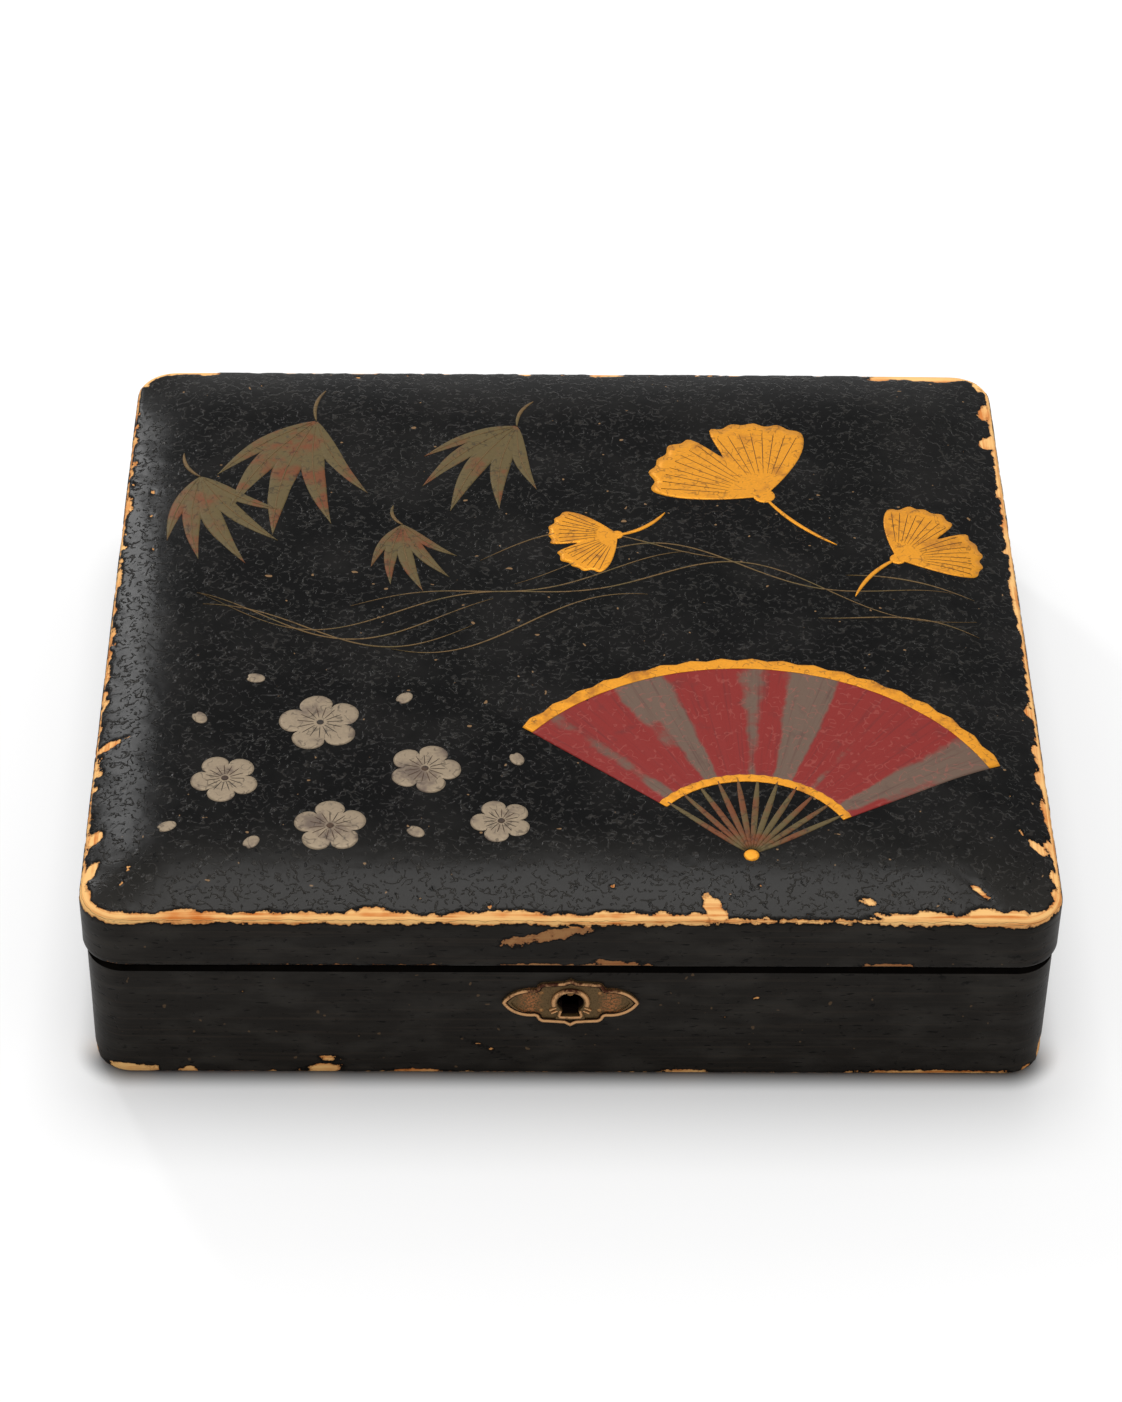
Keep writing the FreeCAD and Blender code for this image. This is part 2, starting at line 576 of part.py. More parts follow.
def make_lock_mortise(front):
    """Cuts the lock's bed, the keyhole, and the screw and tack holes in the front wall."""
    half_plate = f"({LOCK_PLATE_HALF} + let_in)"
    half_box = f"({LOCK_BOX_HALF} + let_in)"
    inside = f"({LOCK_INNER} + inner_radius)"
    bottom = f"({LOCK_CAP_FRONT} - let_in)"
    selvedge = (f"-{half_plate}", half_plate, bottom, inside)
    cut(front, "XY_Plane", BASE_BRASS_FOOT, "base_height", rectangle, *selvedge)
    plate = (f"-{half_plate}", half_plate, f"{LOCK_PLATE_FOOT} - let_in", "base_height")
    cut(front, "XZ_Plane", LOCK_PLATE_FRONT, inside, rectangle, *plate)
    box = (f"-{half_box}", half_box, f"{LOCK_BOX_FOOT} - let_in", "base_height")
    cut(front, "XZ_Plane", bottom, inside, rectangle, *box)
    cut(front, "XZ_Plane", CASE_FRONT, LOCK_CAP_FRONT, keyhole)
    for x, z in LOCK_SCREW_SPOTS:
        cut(front, "XZ_Plane", f"{LOCK_INNER} - {HOLE_DEPTH}", inside, circle, x, z, HOLE_RADIUS)
    for x, z in TACK_SPOTS:
        cut(front, "XZ_Plane", CASE_FRONT, f"{TACK_TIP} + let_in", circle, x, z, TACK_HOLE)


def make_hinge_bed(back, reach):
    """Cuts the back bevel, and the seats, coves and screw holes of both hinges in the back wall."""
    slope = "tan(open_angle / 2)"
    bevel_start = f"-({reach} - hinge_recess)"
    beyond = f"-({reach} + lid_overhang)"
    bevel = [
        (beyond, "base_height"),
        (beyond, f"base_height - (hinge_recess + lid_overhang) * {slope}"),
        (bevel_start, "base_height"),
    ]
    cut(back, "YZ_Plane", "-case_width / 2", "case_width / 2", outline, bevel)
    leaf_edge = f"-({LEAF_EDGE} - let_in)"
    for _, middle in HINGES:
        low = f"{middle} - hinge_length / 2 - let_in"
        high = f"{middle} + hinge_length / 2 + let_in"
        seat = (low, high, beyond, leaf_edge)
        cut(back, "XY_Plane", BASE_BRASS_FOOT, "base_height", rectangle, *seat)
        cove = (f"-{HINGE_AXIS}", SEAM_MIDDLE, "barrel_radius + barrel_clearance")
        ends = "(pin_head_length + barrel_clearance)"
        cut(back, "YZ_Plane", f"{low} - {ends}", f"{high} + {ends}", circle, *cove)
        for seat_x in leaf_screw_seats(middle):
            hole = (seat_x, f"-{LEAF_SCREW_LINE}", HOLE_RADIUS)
            cut(back, "XY_Plane", f"{BASE_BRASS_TOP} - {HOLE_DEPTH}", "base_height", circle, *hole)


def make_lid():
    """The four rails and the domed top board of the lid."""
    left = lid_board("lid_left_rail", LID_HALF_DEPTH, LID_HALF_WIDTH)
    right = lid_board("lid_right_rail", LID_HALF_DEPTH, LID_HALF_WIDTH)
    back = lid_board("lid_back_rail", LID_HALF_WIDTH, LID_HALF_DEPTH)
    front = lid_board("lid_front_rail", LID_HALF_WIDTH, LID_HALF_DEPTH)

    brass_depth = f"({LID_BRASS_TOP} - {LID_FOOT})"
    half_plate = f"({LOCK_PLATE_HALF} + let_in)"
    inside = f"({LOCK_INNER} + inner_radius)"
    bed = (f"-{half_plate}", half_plate, f"{LOCK_CAP_FRONT} - let_in", inside)
    cut(front, "XY_Plane", "0", brass_depth, rectangle, *bed)
    screw_top = f"({LID_BRASS_FOOT} - {LID_FOOT} + {HOLE_DEPTH})"
    for seat_x in LINK_SCREW_SEATS:
        cut(front, "XY_Plane", "0", screw_top, circle, seat_x, WORKS_MIDDLE, HOLE_RADIUS)

    slope = "tan(open_angle / 2)"
    beyond = f"-({LID_HALF_DEPTH} + lid_overhang)"
    bevel = [
        (beyond, "0"),
        (f"-{HINGE_AXIS}", "0"),
        (beyond, f"(hinge_recess + 2 * lid_overhang) * {slope}"),
    ]
    cut(back, "YZ_Plane", f"-{LID_HALF_WIDTH}", LID_HALF_WIDTH, outline, bevel)
    for _, middle in HINGES:
        low = f"{middle} - hinge_length / 2 - let_in"
        high = f"{middle} + hinge_length / 2 + let_in"
        seat = (low, high, beyond, f"-({LEAF_EDGE} - let_in)")
        cut(back, "XY_Plane", "0", brass_depth, rectangle, *seat)
        cove = (f"-{HINGE_AXIS}", f"{SEAM_MIDDLE} - {LID_FOOT}", "barrel_radius + barrel_clearance")
        ends = "(pin_head_length + barrel_clearance)"
        cut(back, "YZ_Plane", f"{low} - {ends}", f"{high} + {ends}", circle, *cove)
        for seat_x in leaf_screw_seats(middle):
            cut(back, "XY_Plane", "0", screw_top, circle, seat_x, f"-{LEAF_SCREW_LINE}", HOLE_RADIUS)
    place(front, LID_FOOT)
    place(right, LID_FOOT, 90)
    place(back, LID_FOOT, 180)
    place(left, LID_FOOT, 270)
    make_top_board()


def dome_surface(top):
    """The dome: a biquadratic surface over the lid's outline, height = rise * f(x) * f(y) above the arris.

    f is 0 at the edge and 1 in the middle, and bends only over the shoulder. Five poles each way hold it."""
    shoulder = number("shoulder_width")
    fullness = number("shoulder_fullness")
    rise = number("dome_rise")
    share = [0, fullness, 1, fullness, 0]

    def poles_across(half):
        return [-half, -half + shoulder / 2, 0, half - shoulder / 2, half]

    def knots_across(half):
        return [-half, -half + shoulder, half - shoulder, half]

    half_width = number(LID_HALF_WIDTH)
    half_depth = number(LID_HALF_DEPTH)
    poles = [
        [Vector(x, y, top + rise * share[i] * share[j]) for j, y in enumerate(poles_across(half_depth))]
        for i, x in enumerate(poles_across(half_width))
    ]
    times = [3, 1, 1, 3]
    knots = (knots_across(half_width), knots_across(half_depth))
    surface = Part.BSplineSurface()
    surface.buildFromPolesMultsKnots(poles, times, times, *knots, False, False, 2, 2)
    return surface


def make_top_board():
    """The top board: an outline with a bevelled arris and a dished underside, cut to the dome."""
    blank = doc.addObject("PartDesign::Body", "top_board_blank")
    blank.AllowCompound = True
    bevel_foot = f"({RAIL_TOP} + panel_edge - arris_bevel)"
    top = f"({RAIL_TOP} + 2 * panel_edge + dome_rise)"
    outer = (f"-{LID_HALF_WIDTH}", LID_HALF_WIDTH, f"-{LID_HALF_DEPTH}", LID_HALF_DEPTH, LID_RADIUS)
    add(blank, "XY_Plane", RAIL_TOP, bevel_foot, rounded_rectangle, *outer)
    bevelled = add(blank, "XY_Plane", bevel_foot, top, rounded_rectangle, *outer)
    bevelled.setExpression("TaperAngle", bound("-bevel_angle"))
    across = (f"-{INNER_HALF_WIDTH}", INNER_HALF_WIDTH)
    along = (f"-{INNER_HALF_DEPTH}", INNER_HALF_DEPTH)
    relief_top = f"{RAIL_TOP} + panel_relief"
    cut(blank, "XY_Plane", RAIL_TOP, relief_top, rounded_rectangle, *across, *along, "inner_radius")

    arris = number(RAIL_TOP) + number("panel_edge")
    dome = doc.addObject("Part::Feature", "dome_space")
    depth = number("panel_edge") + number("dome_rise") + number("dome_rise")
    dome.Shape = dome_surface(arris).toShape().extrude(Vector(0, 0, -depth))

    board = doc.addObject("Part::Common", "lid_top_board")
    board.Label = "lid_top_board"
    board.Base = blank
    board.Tool = dome
    doc.recompute()
    PARTS.append(board)


def hinge_leaf(name, middle, lower):
    """One leaf of a butt hinge. The lower leaf has the two outer knuckles, the upper leaf the middle one."""
    body = part(name)
    foot = BASE_BRASS_FOOT if lower else LID_BRASS_FOOT
    top = BASE_BRASS_TOP if lower else LID_BRASS_TOP
    start = f"({middle} - hinge_length / 2)"
    end = f"({middle} + hinge_length / 2)"
    plate = (LEAF_EDGE, LEAF_BACK, foot, top)
    add(body, "YZ_Plane", start, end, rectangle, *plate)
    third = "hinge_length / 3"
    gap = "knuckle_gap / 2"
    if lower:
        spans = [(start, f"{start} + {third} - {gap}"), (f"{end} - {third} + {gap}", end)]
    else:
        spans = [(f"{start} + {third} + {gap}", f"{end} - {third} - {gap}")]
    for low, high in spans:
        add(body, "YZ_Plane", low, high, rectangle, LEAF_BACK, HINGE_AXIS, foot, top)
        add(body, "YZ_Plane", low, high, circle, HINGE_AXIS, SEAM_MIDDLE, "barrel_radius")
    bore = "hinge_pin_radius + running_clearance"
    cut(body, "YZ_Plane", start, end, circle, HINGE_AXIS, SEAM_MIDDLE, bore)
    spots = [(x, LEAF_SCREW_LINE) for x in leaf_screw_seats(middle)]
    face = BASE_BRASS_TOP if lower else LID_BRASS_FOOT
    countersunk_holes(body, "XY_Plane", foot, top, face, spots)


def make_hinges():
    """Both hinges, each two leaves, a pin with peened heads, and two groups of screws."""
    for side, middle in HINGES:
        hinge_leaf(f"hinge_{side}_base_leaf", middle, lower=True)
        hinge_leaf(f"hinge_{side}_lid_leaf", middle, lower=False)
        pin = part(f"hinge_{side}_pin")
        inner_end = "(hinge_length / 2 + running_clearance)"
        outer_end = f"({inner_end} + pin_head_length)"
        crown = "(0.6 * pin_head_length)"
        head = "(barrel_radius - running_clearance)"
        sketch = drawing(pin, "XY_Plane", SEAM_MIDDLE, middle, HINGE_AXIS)
        outline(
            sketch,
            [
                (f"-{outer_end}", "0"),
                (outer_end, "0"),
                (outer_end, f"{head} - {crown}", crown, "out"),
                (f"{outer_end} - {crown}", head),
                (inner_end, head),
                (inner_end, "hinge_pin_radius"),
                (f"-{inner_end}", "hinge_pin_radius"),
                (f"-{inner_end}", head),
                (f"-{outer_end} + {crown}", head, crown, "out"),
                (f"-{outer_end}", f"{head} - {crown}"),
            ],
        )
        feature = pin.newObject("PartDesign::Revolution", "turned")
        feature.Profile = sketch
        feature.ReferenceAxis = (sketch, ["H_Axis"])
        feature.Angle = 360
        doc.recompute()
        seats = leaf_screw_seats(middle)
        screws(f"hinge_{side}_base_screws", "XZ_Plane", BASE_BRASS_TOP, seats, True, LEAF_SCREW_LINE)
        screws(f"hinge_{side}_lid_screws", "XZ_Plane", LID_BRASS_FOOT, seats, False, LEAF_SCREW_LINE)


def make_lock_case():
    """The lock's case: back plate, selvedge and rim, with slots for the links and four screw holes."""
    body = part("lock_case")
    half_plate = LOCK_PLATE_HALF
    plate = (f"-{half_plate}", half_plate, LOCK_PLATE_FOOT, BASE_BRASS_TOP)
    add(body, "XZ_Plane", LOCK_PLATE_FRONT, LOCK_INNER, rectangle, *plate)
    selvedge = (f"-{half_plate}", half_plate, LOCK_CAP_FRONT, LOCK_INNER)
    add(body, "XY_Plane", BASE_BRASS_FOOT, BASE_BRASS_TOP, rectangle, *selvedge)
    rim = (f"-{LOCK_BOX_HALF}", LOCK_BOX_HALF, LOCK_BOX_FOOT, BASE_BRASS_FOOT)
    add(body, "XZ_Plane", LOCK_WORKS_FRONT, LOCK_PLATE_FRONT, rectangle, *rim)
    half_works = f"({LOCK_BOX_HALF} - lock_box_rim)"
    works = (f"-{half_works}", half_works, f"{LOCK_BOX_FOOT} + lock_box_rim", BASE_BRASS_FOOT)
    cut(body, "XZ_Plane", LOCK_WORKS_FRONT, LOCK_PLATE_FRONT, rectangle, *works)
    for middle in LINK_MIDDLES:
        half_slot = "(link_thickness / 2 + link_clearance)"
        reach = f"({LINK_HALF} + link_clearance)"
        across = (f"{middle} - {half_slot}", f"{middle} + {half_slot}")
        along = (f"{WORKS_MIDDLE} - {reach}", f"{WORKS_MIDDLE} + {reach}")
        cut(body, "XY_Plane", BASE_BRASS_FOOT, BASE_BRASS_TOP, rectangle, *across, *along)
    rivet = "drill_pin_radius + running_clearance"
    cut(body, "XZ_Plane", LOCK_PLATE_FRONT, LOCK_INNER, circle, "0", KEY_HEIGHT, rivet)
    countersunk_holes(body, "XZ_Plane", LOCK_PLATE_FRONT, LOCK_INNER, LOCK_INNER, LOCK_SCREW_SPOTS)


def make_lock_works():
    """The lock's cap, drill pin, bolt and spring."""
    cap = part("lock_cap")
    plate = (f"-{LOCK_BOX_HALF}", LOCK_BOX_HALF, LOCK_BOX_FOOT, BASE_BRASS_FOOT)
    add(cap, "XZ_Plane", LOCK_CAP_FRONT, LOCK_WORKS_FRONT, rectangle, *plate)
    cut(cap, "XZ_Plane", LOCK_CAP_FRONT, LOCK_WORKS_FRONT, keyhole)

    pin = part("lock_drill_pin")
    add(pin, "XZ_Plane", LOCK_CAP_FRONT, LOCK_INNER, circle, "0", KEY_HEIGHT, "drill_pin_radius")

    bolt = part("lock_bolt")
    finger_foot = f"({EYE_FOOT} + bolt_play)"
    finger_top = f"({finger_foot} + bolt_finger_height)"
    tip_back = "(link_thickness / 2 + bolt_play)"
    post_back = f"({tip_back} + bolt_throw)"

    def finger(middle):
        """The corners of a finger, from its tip's top round its post to the bar."""
        tip = f"{middle} - {tip_back}"
        post = f"{middle} - {post_back}"
        heel = f"{post} - bolt_post_width"
        inner_side = [(post, BOLT_BAR_TOP), (post, finger_foot), (tip, finger_foot)]
        return [*inner_side, (tip, finger_top), (heel, finger_top)]

    left, right = LINK_MIDDLES
    left_heel = f"({left} - {post_back} - bolt_post_width)"
    right_heel = f"({right} - {post_back} - bolt_post_width)"
    bar_end = f"({right} - {tip_back})"
    talon = "talon_width / 2"
    talon_top = f"{BOLT_FOOT} + talon_depth"
    corners = [
        (left_heel, BOLT_FOOT),
        (f"-{talon}", BOLT_FOOT),
        (f"-{talon}", talon_top),
        (talon, talon_top),
        (talon, BOLT_FOOT),
        (bar_end, BOLT_FOOT),
        (bar_end, BOLT_BAR_TOP),
        *finger(right),
        (right_heel, BOLT_BAR_TOP),
        *finger(left),
    ]
    half = "bolt_thickness / 2"
    add(bolt, "XZ_Plane", f"{WORKS_MIDDLE} - {half}", f"{WORKS_MIDDLE} + {half}", outline, corners)

    spring = part("lock_bolt_spring")
    start = f"({left} + {tip_back})"
    end = f"({right_heel} - bolt_play)"
    inner = "spring_thickness"
    middle = f"(({start} + {end}) / 2)"
    radius = f"(({end} - {start}) / 2)"
    legs_top = f"({BASE_BRASS_FOOT} - brass_gap - {radius})"
    outer_arc = (radius, "out")
    inner_arc = (f"({radius} - {inner})", "in")
    band = [
        (start, BOLT_BAR_TOP),
        (f"{start} + {inner}", BOLT_BAR_TOP),
        (f"{start} + {inner}", legs_top, *inner_arc),
        (middle, f"{legs_top} + {radius} - {inner}", *inner_arc),
        (f"{end} - {inner}", legs_top),
        (f"{end} - {inner}", BOLT_BAR_TOP),
        (end, BOLT_BAR_TOP),
        (end, legs_top, *outer_arc),
        (middle, f"{legs_top} + {radius}", *outer_arc),
        (start, legs_top),
    ]
    add(spring, "XZ_Plane", f"{WORKS_MIDDLE} - {half}", f"{WORKS_MIDDLE} + {half}", outline, band)


def make_link_plate():
    """The plate under the lid's front rail, with its two links, and its screws."""
    body = part("link_plate")
    plate = (f"-{LOCK_PLATE_HALF}", LOCK_PLATE_HALF, LOCK_CAP_FRONT, LOCK_INNER)
    add(body, "XY_Plane", LID_BRASS_FOOT, LID_BRASS_TOP, rectangle, *plate)
    for middle in LINK_MIDDLES:
        low = f"{middle} - link_thickness / 2"
        high = f"{middle} + link_thickness / 2"
        loop = (f"{WORKS_MIDDLE} - {LINK_HALF}", f"{WORKS_MIDDLE} + {LINK_HALF}")
        add(body, "YZ_Plane", low, high, rectangle, *loop, LINK_FOOT, LID_BRASS_FOOT)
        eye = (f"{WORKS_MIDDLE} - {EYE_HALF}", f"{WORKS_MIDDLE} + {EYE_HALF}", EYE_FOOT, EYE_TOP)
        cut(body, "YZ_Plane", low, high, rectangle, *eye)
    spots = [(x, WORKS_MIDDLE) for x in LINK_SCREW_SEATS]
    countersunk_holes(body, "XY_Plane", LID_BRASS_FOOT, LID_BRASS_TOP, LID_BRASS_FOOT, spots)
    screws("link_plate_screws", "XZ_Plane", LID_BRASS_FOOT, LINK_SCREW_SEATS, False, WORKS_MIDDLE)


def make_lock_screws():
    """Four screws through the lock's back plate. They point outwards, along -Y."""
    body = part("lock_screws")
    for x, z in LOCK_SCREW_SPOTS:
        profile = [
            ("0", "-screw_length"),
            ("screw_shank_radius", "-(screw_length - screw_point)"),
            ("screw_shank_radius", f"-{COUNTERSINK}"),
            ("screw_head_radius", "0"),
            ("0", "0"),
        ]
        turn(body, "XY_Plane", z, x, LOCK_INNER, profile)
    for x, z in LOCK_SCREW_SPOTS:
        across = (f"{x} - screw_head_radius", f"{x} + screw_head_radius")
        half = "driver_slot / 2"
        slot = (f"{LOCK_INNER} - driver_slot", LOCK_INNER)
        cut(body, "XY_Plane", f"{z} - {half}", f"{z} + {half}", rectangle, *across, *slot)


# One quarter of the escutcheon's outline, from the wing's point up to the cusp. Each corner has its x and z,
# and how far these move in for each unit of inset. A side that bows out has its radius as a share of its chord.
PLATE_CORNERS = [
    ("plate_width / 2", "0", 2.2, 0),
    ("wing_start", "wing_half_height", 0.2, 1),
    ("wing_start - notch_width", "wing_half_height + notch_rise", 0.6, 0.9),
    ("crown_reach", "crown_half_height", 0.5, 1),
    ("cusp_half_width", "crown_half_height + cusp_rise", 0.2, 1),
    ("0", "plate_height / 2", 0, 1.2),
]
PLATE_BOWS = ["wing_bow", None, "crown_bow", None, None]


def plate_outline(sketch, inset):
    """Draws the escutcheon's outline, drawn in by the inset: a middle lobe between two pointed wings.

    Each quarter mirrors the one before, so every second one runs from the cusp to the wing's point."""
    corners = [
        (f"({x} - {inset_x} * {inset})", f"({z} - {inset_z} * {inset})")
        for x, z, inset_x, inset_z in PLATE_CORNERS
    ]
    sides = list(zip(corners, corners[1:], PLATE_BOWS))
    points = []
    for sign_x, sign_z, upward in (("", "", True), ("-", "", False), ("-", "-", True), ("", "-", False)):
        for low, high, bow in sides if upward else sides[::-1]:
            x, z = low if upward else high
            chord = f"sqrt(({low[0]} - {high[0]}) ^ 2 + ({low[1]} - {high[1]}) ^ 2)"
            arc = (f"({bow} * {chord})", "out") if bow else ()
            points.append((f"{sign_x}{x}", f"{KEY_HEIGHT} + ({sign_z}{z})", *arc))
    outline(sketch, points)


def make_escutcheon():
    """The brass plate round the keyhole, with its raised border and collar, and its four tacks."""
    body = part("escutcheon")
    add(body, "XZ_Plane", PLATE_FRONT, CASE_FRONT, plate_outline, "0")
    cut(body, "XZ_Plane", PLATE_FRONT, PLATE_GROUND, plate_outline, "border_width")
    add(body, "XZ_Plane", PLATE_FRONT, PLATE_GROUND, keyhole, "collar_width")
    cut(body, "XZ_Plane", PLATE_FRONT, CASE_FRONT, keyhole)
    for x, z in TACK_SPOTS:
        cut(body, "XZ_Plane", PLATE_FRONT, CASE_FRONT, circle, x, z, TACK_HOLE)

    tacks = part("escutcheon_tacks")
    for x, z in TACK_SPOTS:
        length = f"({TACK_TIP} - {PLATE_GROUND})"
        profile = [
            ("0", length),
            ("-tack_shank_radius", f"{length} - 2 * tack_shank_radius"),
            ("-tack_shank_radius", "0"),
            ("-tack_head_radius", "0", "(1.25 * tack_head_radius)", "out"),
            ("0", "-tack_head_radius / 2"),
        ]
        turn(tacks, "XY_Plane", z, x, PLATE_GROUND, profile)


def make_inkstone_board():
    """The board that holds the inkstone and the water dropper in two shallow seats."""
    body = part("inkstone_board")
    half_width = "(board_width / 2)"
    half_length = FITTING_HALF_LENGTH
    board = (f"-{half_width}", half_width, f"-{half_length}", half_length, "inner_radius")
    top = f"({FLOOR_TOP} + board_height)"
    add(body, "XY_Plane", FLOOR_TOP, top, rounded_rectangle, *board)
    for width, length, corner, depth, middle in (
        ("stone_width", "stone_length", "stone_corner", "stone_seat", STONE_MIDDLE),
        ("dropper_width", "dropper_length", "dropper_corner", "dropper_seat", DROPPER_MIDDLE),
    ):
        across = f"({width} / 2 + seat_gap)"
        along = f"({length} / 2 + seat_gap)"
        seat = (f"-{across}", across, f"{middle} - {along}", f"{middle} + {along}", f"({corner} + seat_gap)")
        cut(body, "XY_Plane", f"{top} - {depth}", top, rounded_rectangle, *seat)


def make_inkstone():
    """The inkstone: a slab whose grinding field slopes down into the ink well at the back."""
    body = part("inkstone")
    foot = f"({FLOOR_TOP} + board_height - stone_seat)"
    top = f"({foot} + stone_height)"
    half_width = "(stone_width / 2)"
    front = f"({STONE_MIDDLE} - stone_length / 2)"
    back = f"({STONE_MIDDLE} + stone_length / 2)"
    slab = (f"-{half_width}", half_width, front, back, "stone_corner")
    add(body, "XY_Plane", foot, top, rounded_rectangle, *slab)
    dress(body, "PartDesign::Fillet", "stone_rim / 6", at_height(top))
    inner_half = f"({half_width} - stone_rim)"
    well_back = f"({back} - stone_rim)"
    well_front = f"({well_back} - well_length)"
    field = [
        (f"{front} + stone_rim", f"{top} + stone_field"),
        (f"{front} + stone_rim", f"{top} - stone_field"),
        (f"{well_front} - slope_length", f"{top} - stone_field"),
        (well_front, f"{top} - stone_well"),
        (well_back, f"{top} - stone_well"),
        (well_back, f"{top} + stone_field"),
    ]
    cut(body, "YZ_Plane", f"-{inner_half}", inner_half, outline, field)

    def upright_corner(edge):
        first, last = edge.Vertexes[0].Point, edge.Vertexes[-1].Point
        inside = near(abs(first.x), inner_half) and near(abs(last.x), inner_half)
        return inside and abs(first.x - last.x) < 1e-3 and abs(first.y - last.y) < 1e-3

    dress(body, "PartDesign::Fillet", "stone_corner - stone_rim / 2", upright_corner)


def make_dropper():
    """The water dropper: a low metal vessel with an air hole in a raised ring and a spout at one corner."""
    body = part("water_dropper")
    foot = f"({FLOOR_TOP} + board_height - dropper_seat)"
    top = f"({foot} + dropper_height)"
    half_width = "(dropper_width / 2)"
    front = f"({DROPPER_MIDDLE} - dropper_length / 2)"
    back = f"({DROPPER_MIDDLE} + dropper_length / 2)"
    vessel = (f"-{half_width}", half_width, front, back, "dropper_corner")
    add(body, "XY_Plane", foot, top, rounded_rectangle, *vessel)
    dress(body, "PartDesign::Fillet", "dropper_round", at_height(top))
    shell = "dropper_shell"
    across = (f"-{half_width} + {shell}", f"{half_width} - {shell}")
    along = (f"{front} + {shell}", f"{back} - {shell}")
    inner_corner = f"(dropper_corner - {shell})"
    cavity_top = f"({top} - dropper_round)"
    cut(body, "XY_Plane", f"{foot} + {shell}", cavity_top, rounded_rectangle, *across, *along, inner_corner)
    ring_top = f"({top} + spout_radius)"
    add(body, "XY_Plane", f"{top} - spout_radius", ring_top, circle, "0", DROPPER_MIDDLE, "4 * spout_radius")
    cut(body, "XY_Plane", top, ring_top, circle, "0", DROPPER_MIDDLE, "3 * spout_radius")
    hole_foot = f"({cavity_top} - {shell})"
    cut(body, "XY_Plane", hole_foot, top, circle, "0", DROPPER_MIDDLE, "spout_radius")
    spout_x = f"({half_width} - dropper_corner)"
    spout_y = f"({front} + dropper_corner)"
    cut(body, "XY_Plane", hole_foot, top, circle, f"-{spout_x}", spout_y, "spout_radius")


def make_tray(name, sign):
    """An open tray beside the inkstone's board."""
    body = part(name)
    inner = TRAY_INNER_SIDE
    outer = f"({inner} + {TRAY_WIDTH})"
    left, right = (inner, outer) if sign > 0 else (f"-{outer}", f"-{inner}")
    half_length = FITTING_HALF_LENGTH
    top = f"({FLOOR_TOP} + tray_height)"
    outside = (left, right, f"-{half_length}", half_length, "tray_corner")
    add(body, "XY_Plane", FLOOR_TOP, top, rounded_rectangle, *outside)
    across = (f"{left} + tray_wall", f"{right} - tray_wall")
    along = (f"-{half_length} + tray_wall", f"{half_length} - tray_wall")
    cut(body, "XY_Plane", TRAY_FLOOR, top, rounded_rectangle, *across, *along, "(tray_corner - tray_wall)")
    dress(body, "PartDesign::Fillet", "tray_wall / 4", at_height(top))


def brush_axis(size):
    """The height of a lying brush's axis."""
    return f"({TRAY_FLOOR} + brush_lift + {size}_handle_radius)"


def make_brush_rests():
    """Two bars across the brush tray, each with a round notch for each brush."""
    for name, side in (("brush_rest_front", "-"), ("brush_rest_back", "+")):
        body = part(name)
        middle = f"({side}rest_spread / 2)"
        low = f"{middle} - rest_width / 2"
        high = f"{middle} + rest_width / 2"
        half = f"({TRAY_WIDTH} / 2 - tray_wall)"
        top = f"({TRAY_FLOOR} + rest_height)"
        bar = (f"{TRAY_MIDDLE} - {half}", f"{TRAY_MIDDLE} + {half}", TRAY_FLOOR, top)
        add(body, "XZ_Plane", low, high, rectangle, *bar)
        for size, sign in BRUSHES:
            middle_x = f"{TRAY_MIDDLE} {sign} brush_spread / 2"
            notch_radius = f"{size}_handle_radius + rest_play"
            cut(body, "XZ_Plane", low, high, circle, middle_x, brush_axis(size), notch_radius)


def make_brushes():
    """Two brushes, each a bamboo handle with its joints and a pointed tip."""
    for size, sign in BRUSHES:
        radius = f"{size}_handle_radius"
        length = f"{size}_handle_length"
        tip = f"{size}_tip_length"
        across = f"({TRAY_MIDDLE} {sign} brush_spread / 2)"
        start = f"(-({length} + {tip}) / 2)"
        waist = f"(handle_waist * {radius})"
        step = f"({radius} / 3)"
        profile = [("0", "0"), (f"(handle_end * {radius})", "0"), (waist, step)]
        for joint in (f"(first_joint * {length})", f"(second_joint * {length})"):
            profile += [(waist, f"{joint} - {step}"), (radius, joint), (waist, f"{joint} + {step}")]
        ferrule = f"({length} - {step})"
        profile += [(waist, ferrule), (radius, ferrule), (radius, length), ("0", length)]
        handle = part(f"brush_{size}_handle")
        turn(handle, "XY_Plane", brush_axis(size), across, start, profile)
        hair_profile = [
            ("0", "0"),
            (f"(tip_heel * {radius})", "0"),
            (radius, f"(belly_place * {tip})"),
            (f"(neck_radius * {radius})", f"(neck_place * {tip})"),
            (f"(tip_point * {radius})", tip),
            ("0", tip),
        ]
        hair = part(f"brush_{size}_tip")
        turn(hair, "XY_Plane", brush_axis(size), across, f"({start} + {length})", hair_profile)


def make_ink_stick():
    """The ink stick, lying in the left tray."""
    body = part("ink_stick")
    half_width = "stick_width / 2"
    half_length = "stick_length / 2"
    top = f"({TRAY_FLOOR} + stick_height)"
    middle = f"({FITTING_HALF_LENGTH} - tray_wall - stick_gap - {half_length})"
    across = (f"-{TRAY_MIDDLE} - {half_width}", f"-{TRAY_MIDDLE} + {half_width}")
    along = (f"{middle} - {half_length}", f"{middle} + {half_length}")
    add(body, "XY_Plane", TRAY_FLOOR, top, rounded_rectangle, *across, *along, "(stick_width / 8)")
    dress(body, "PartDesign::Fillet", "stick_height / 8", at_height(top))


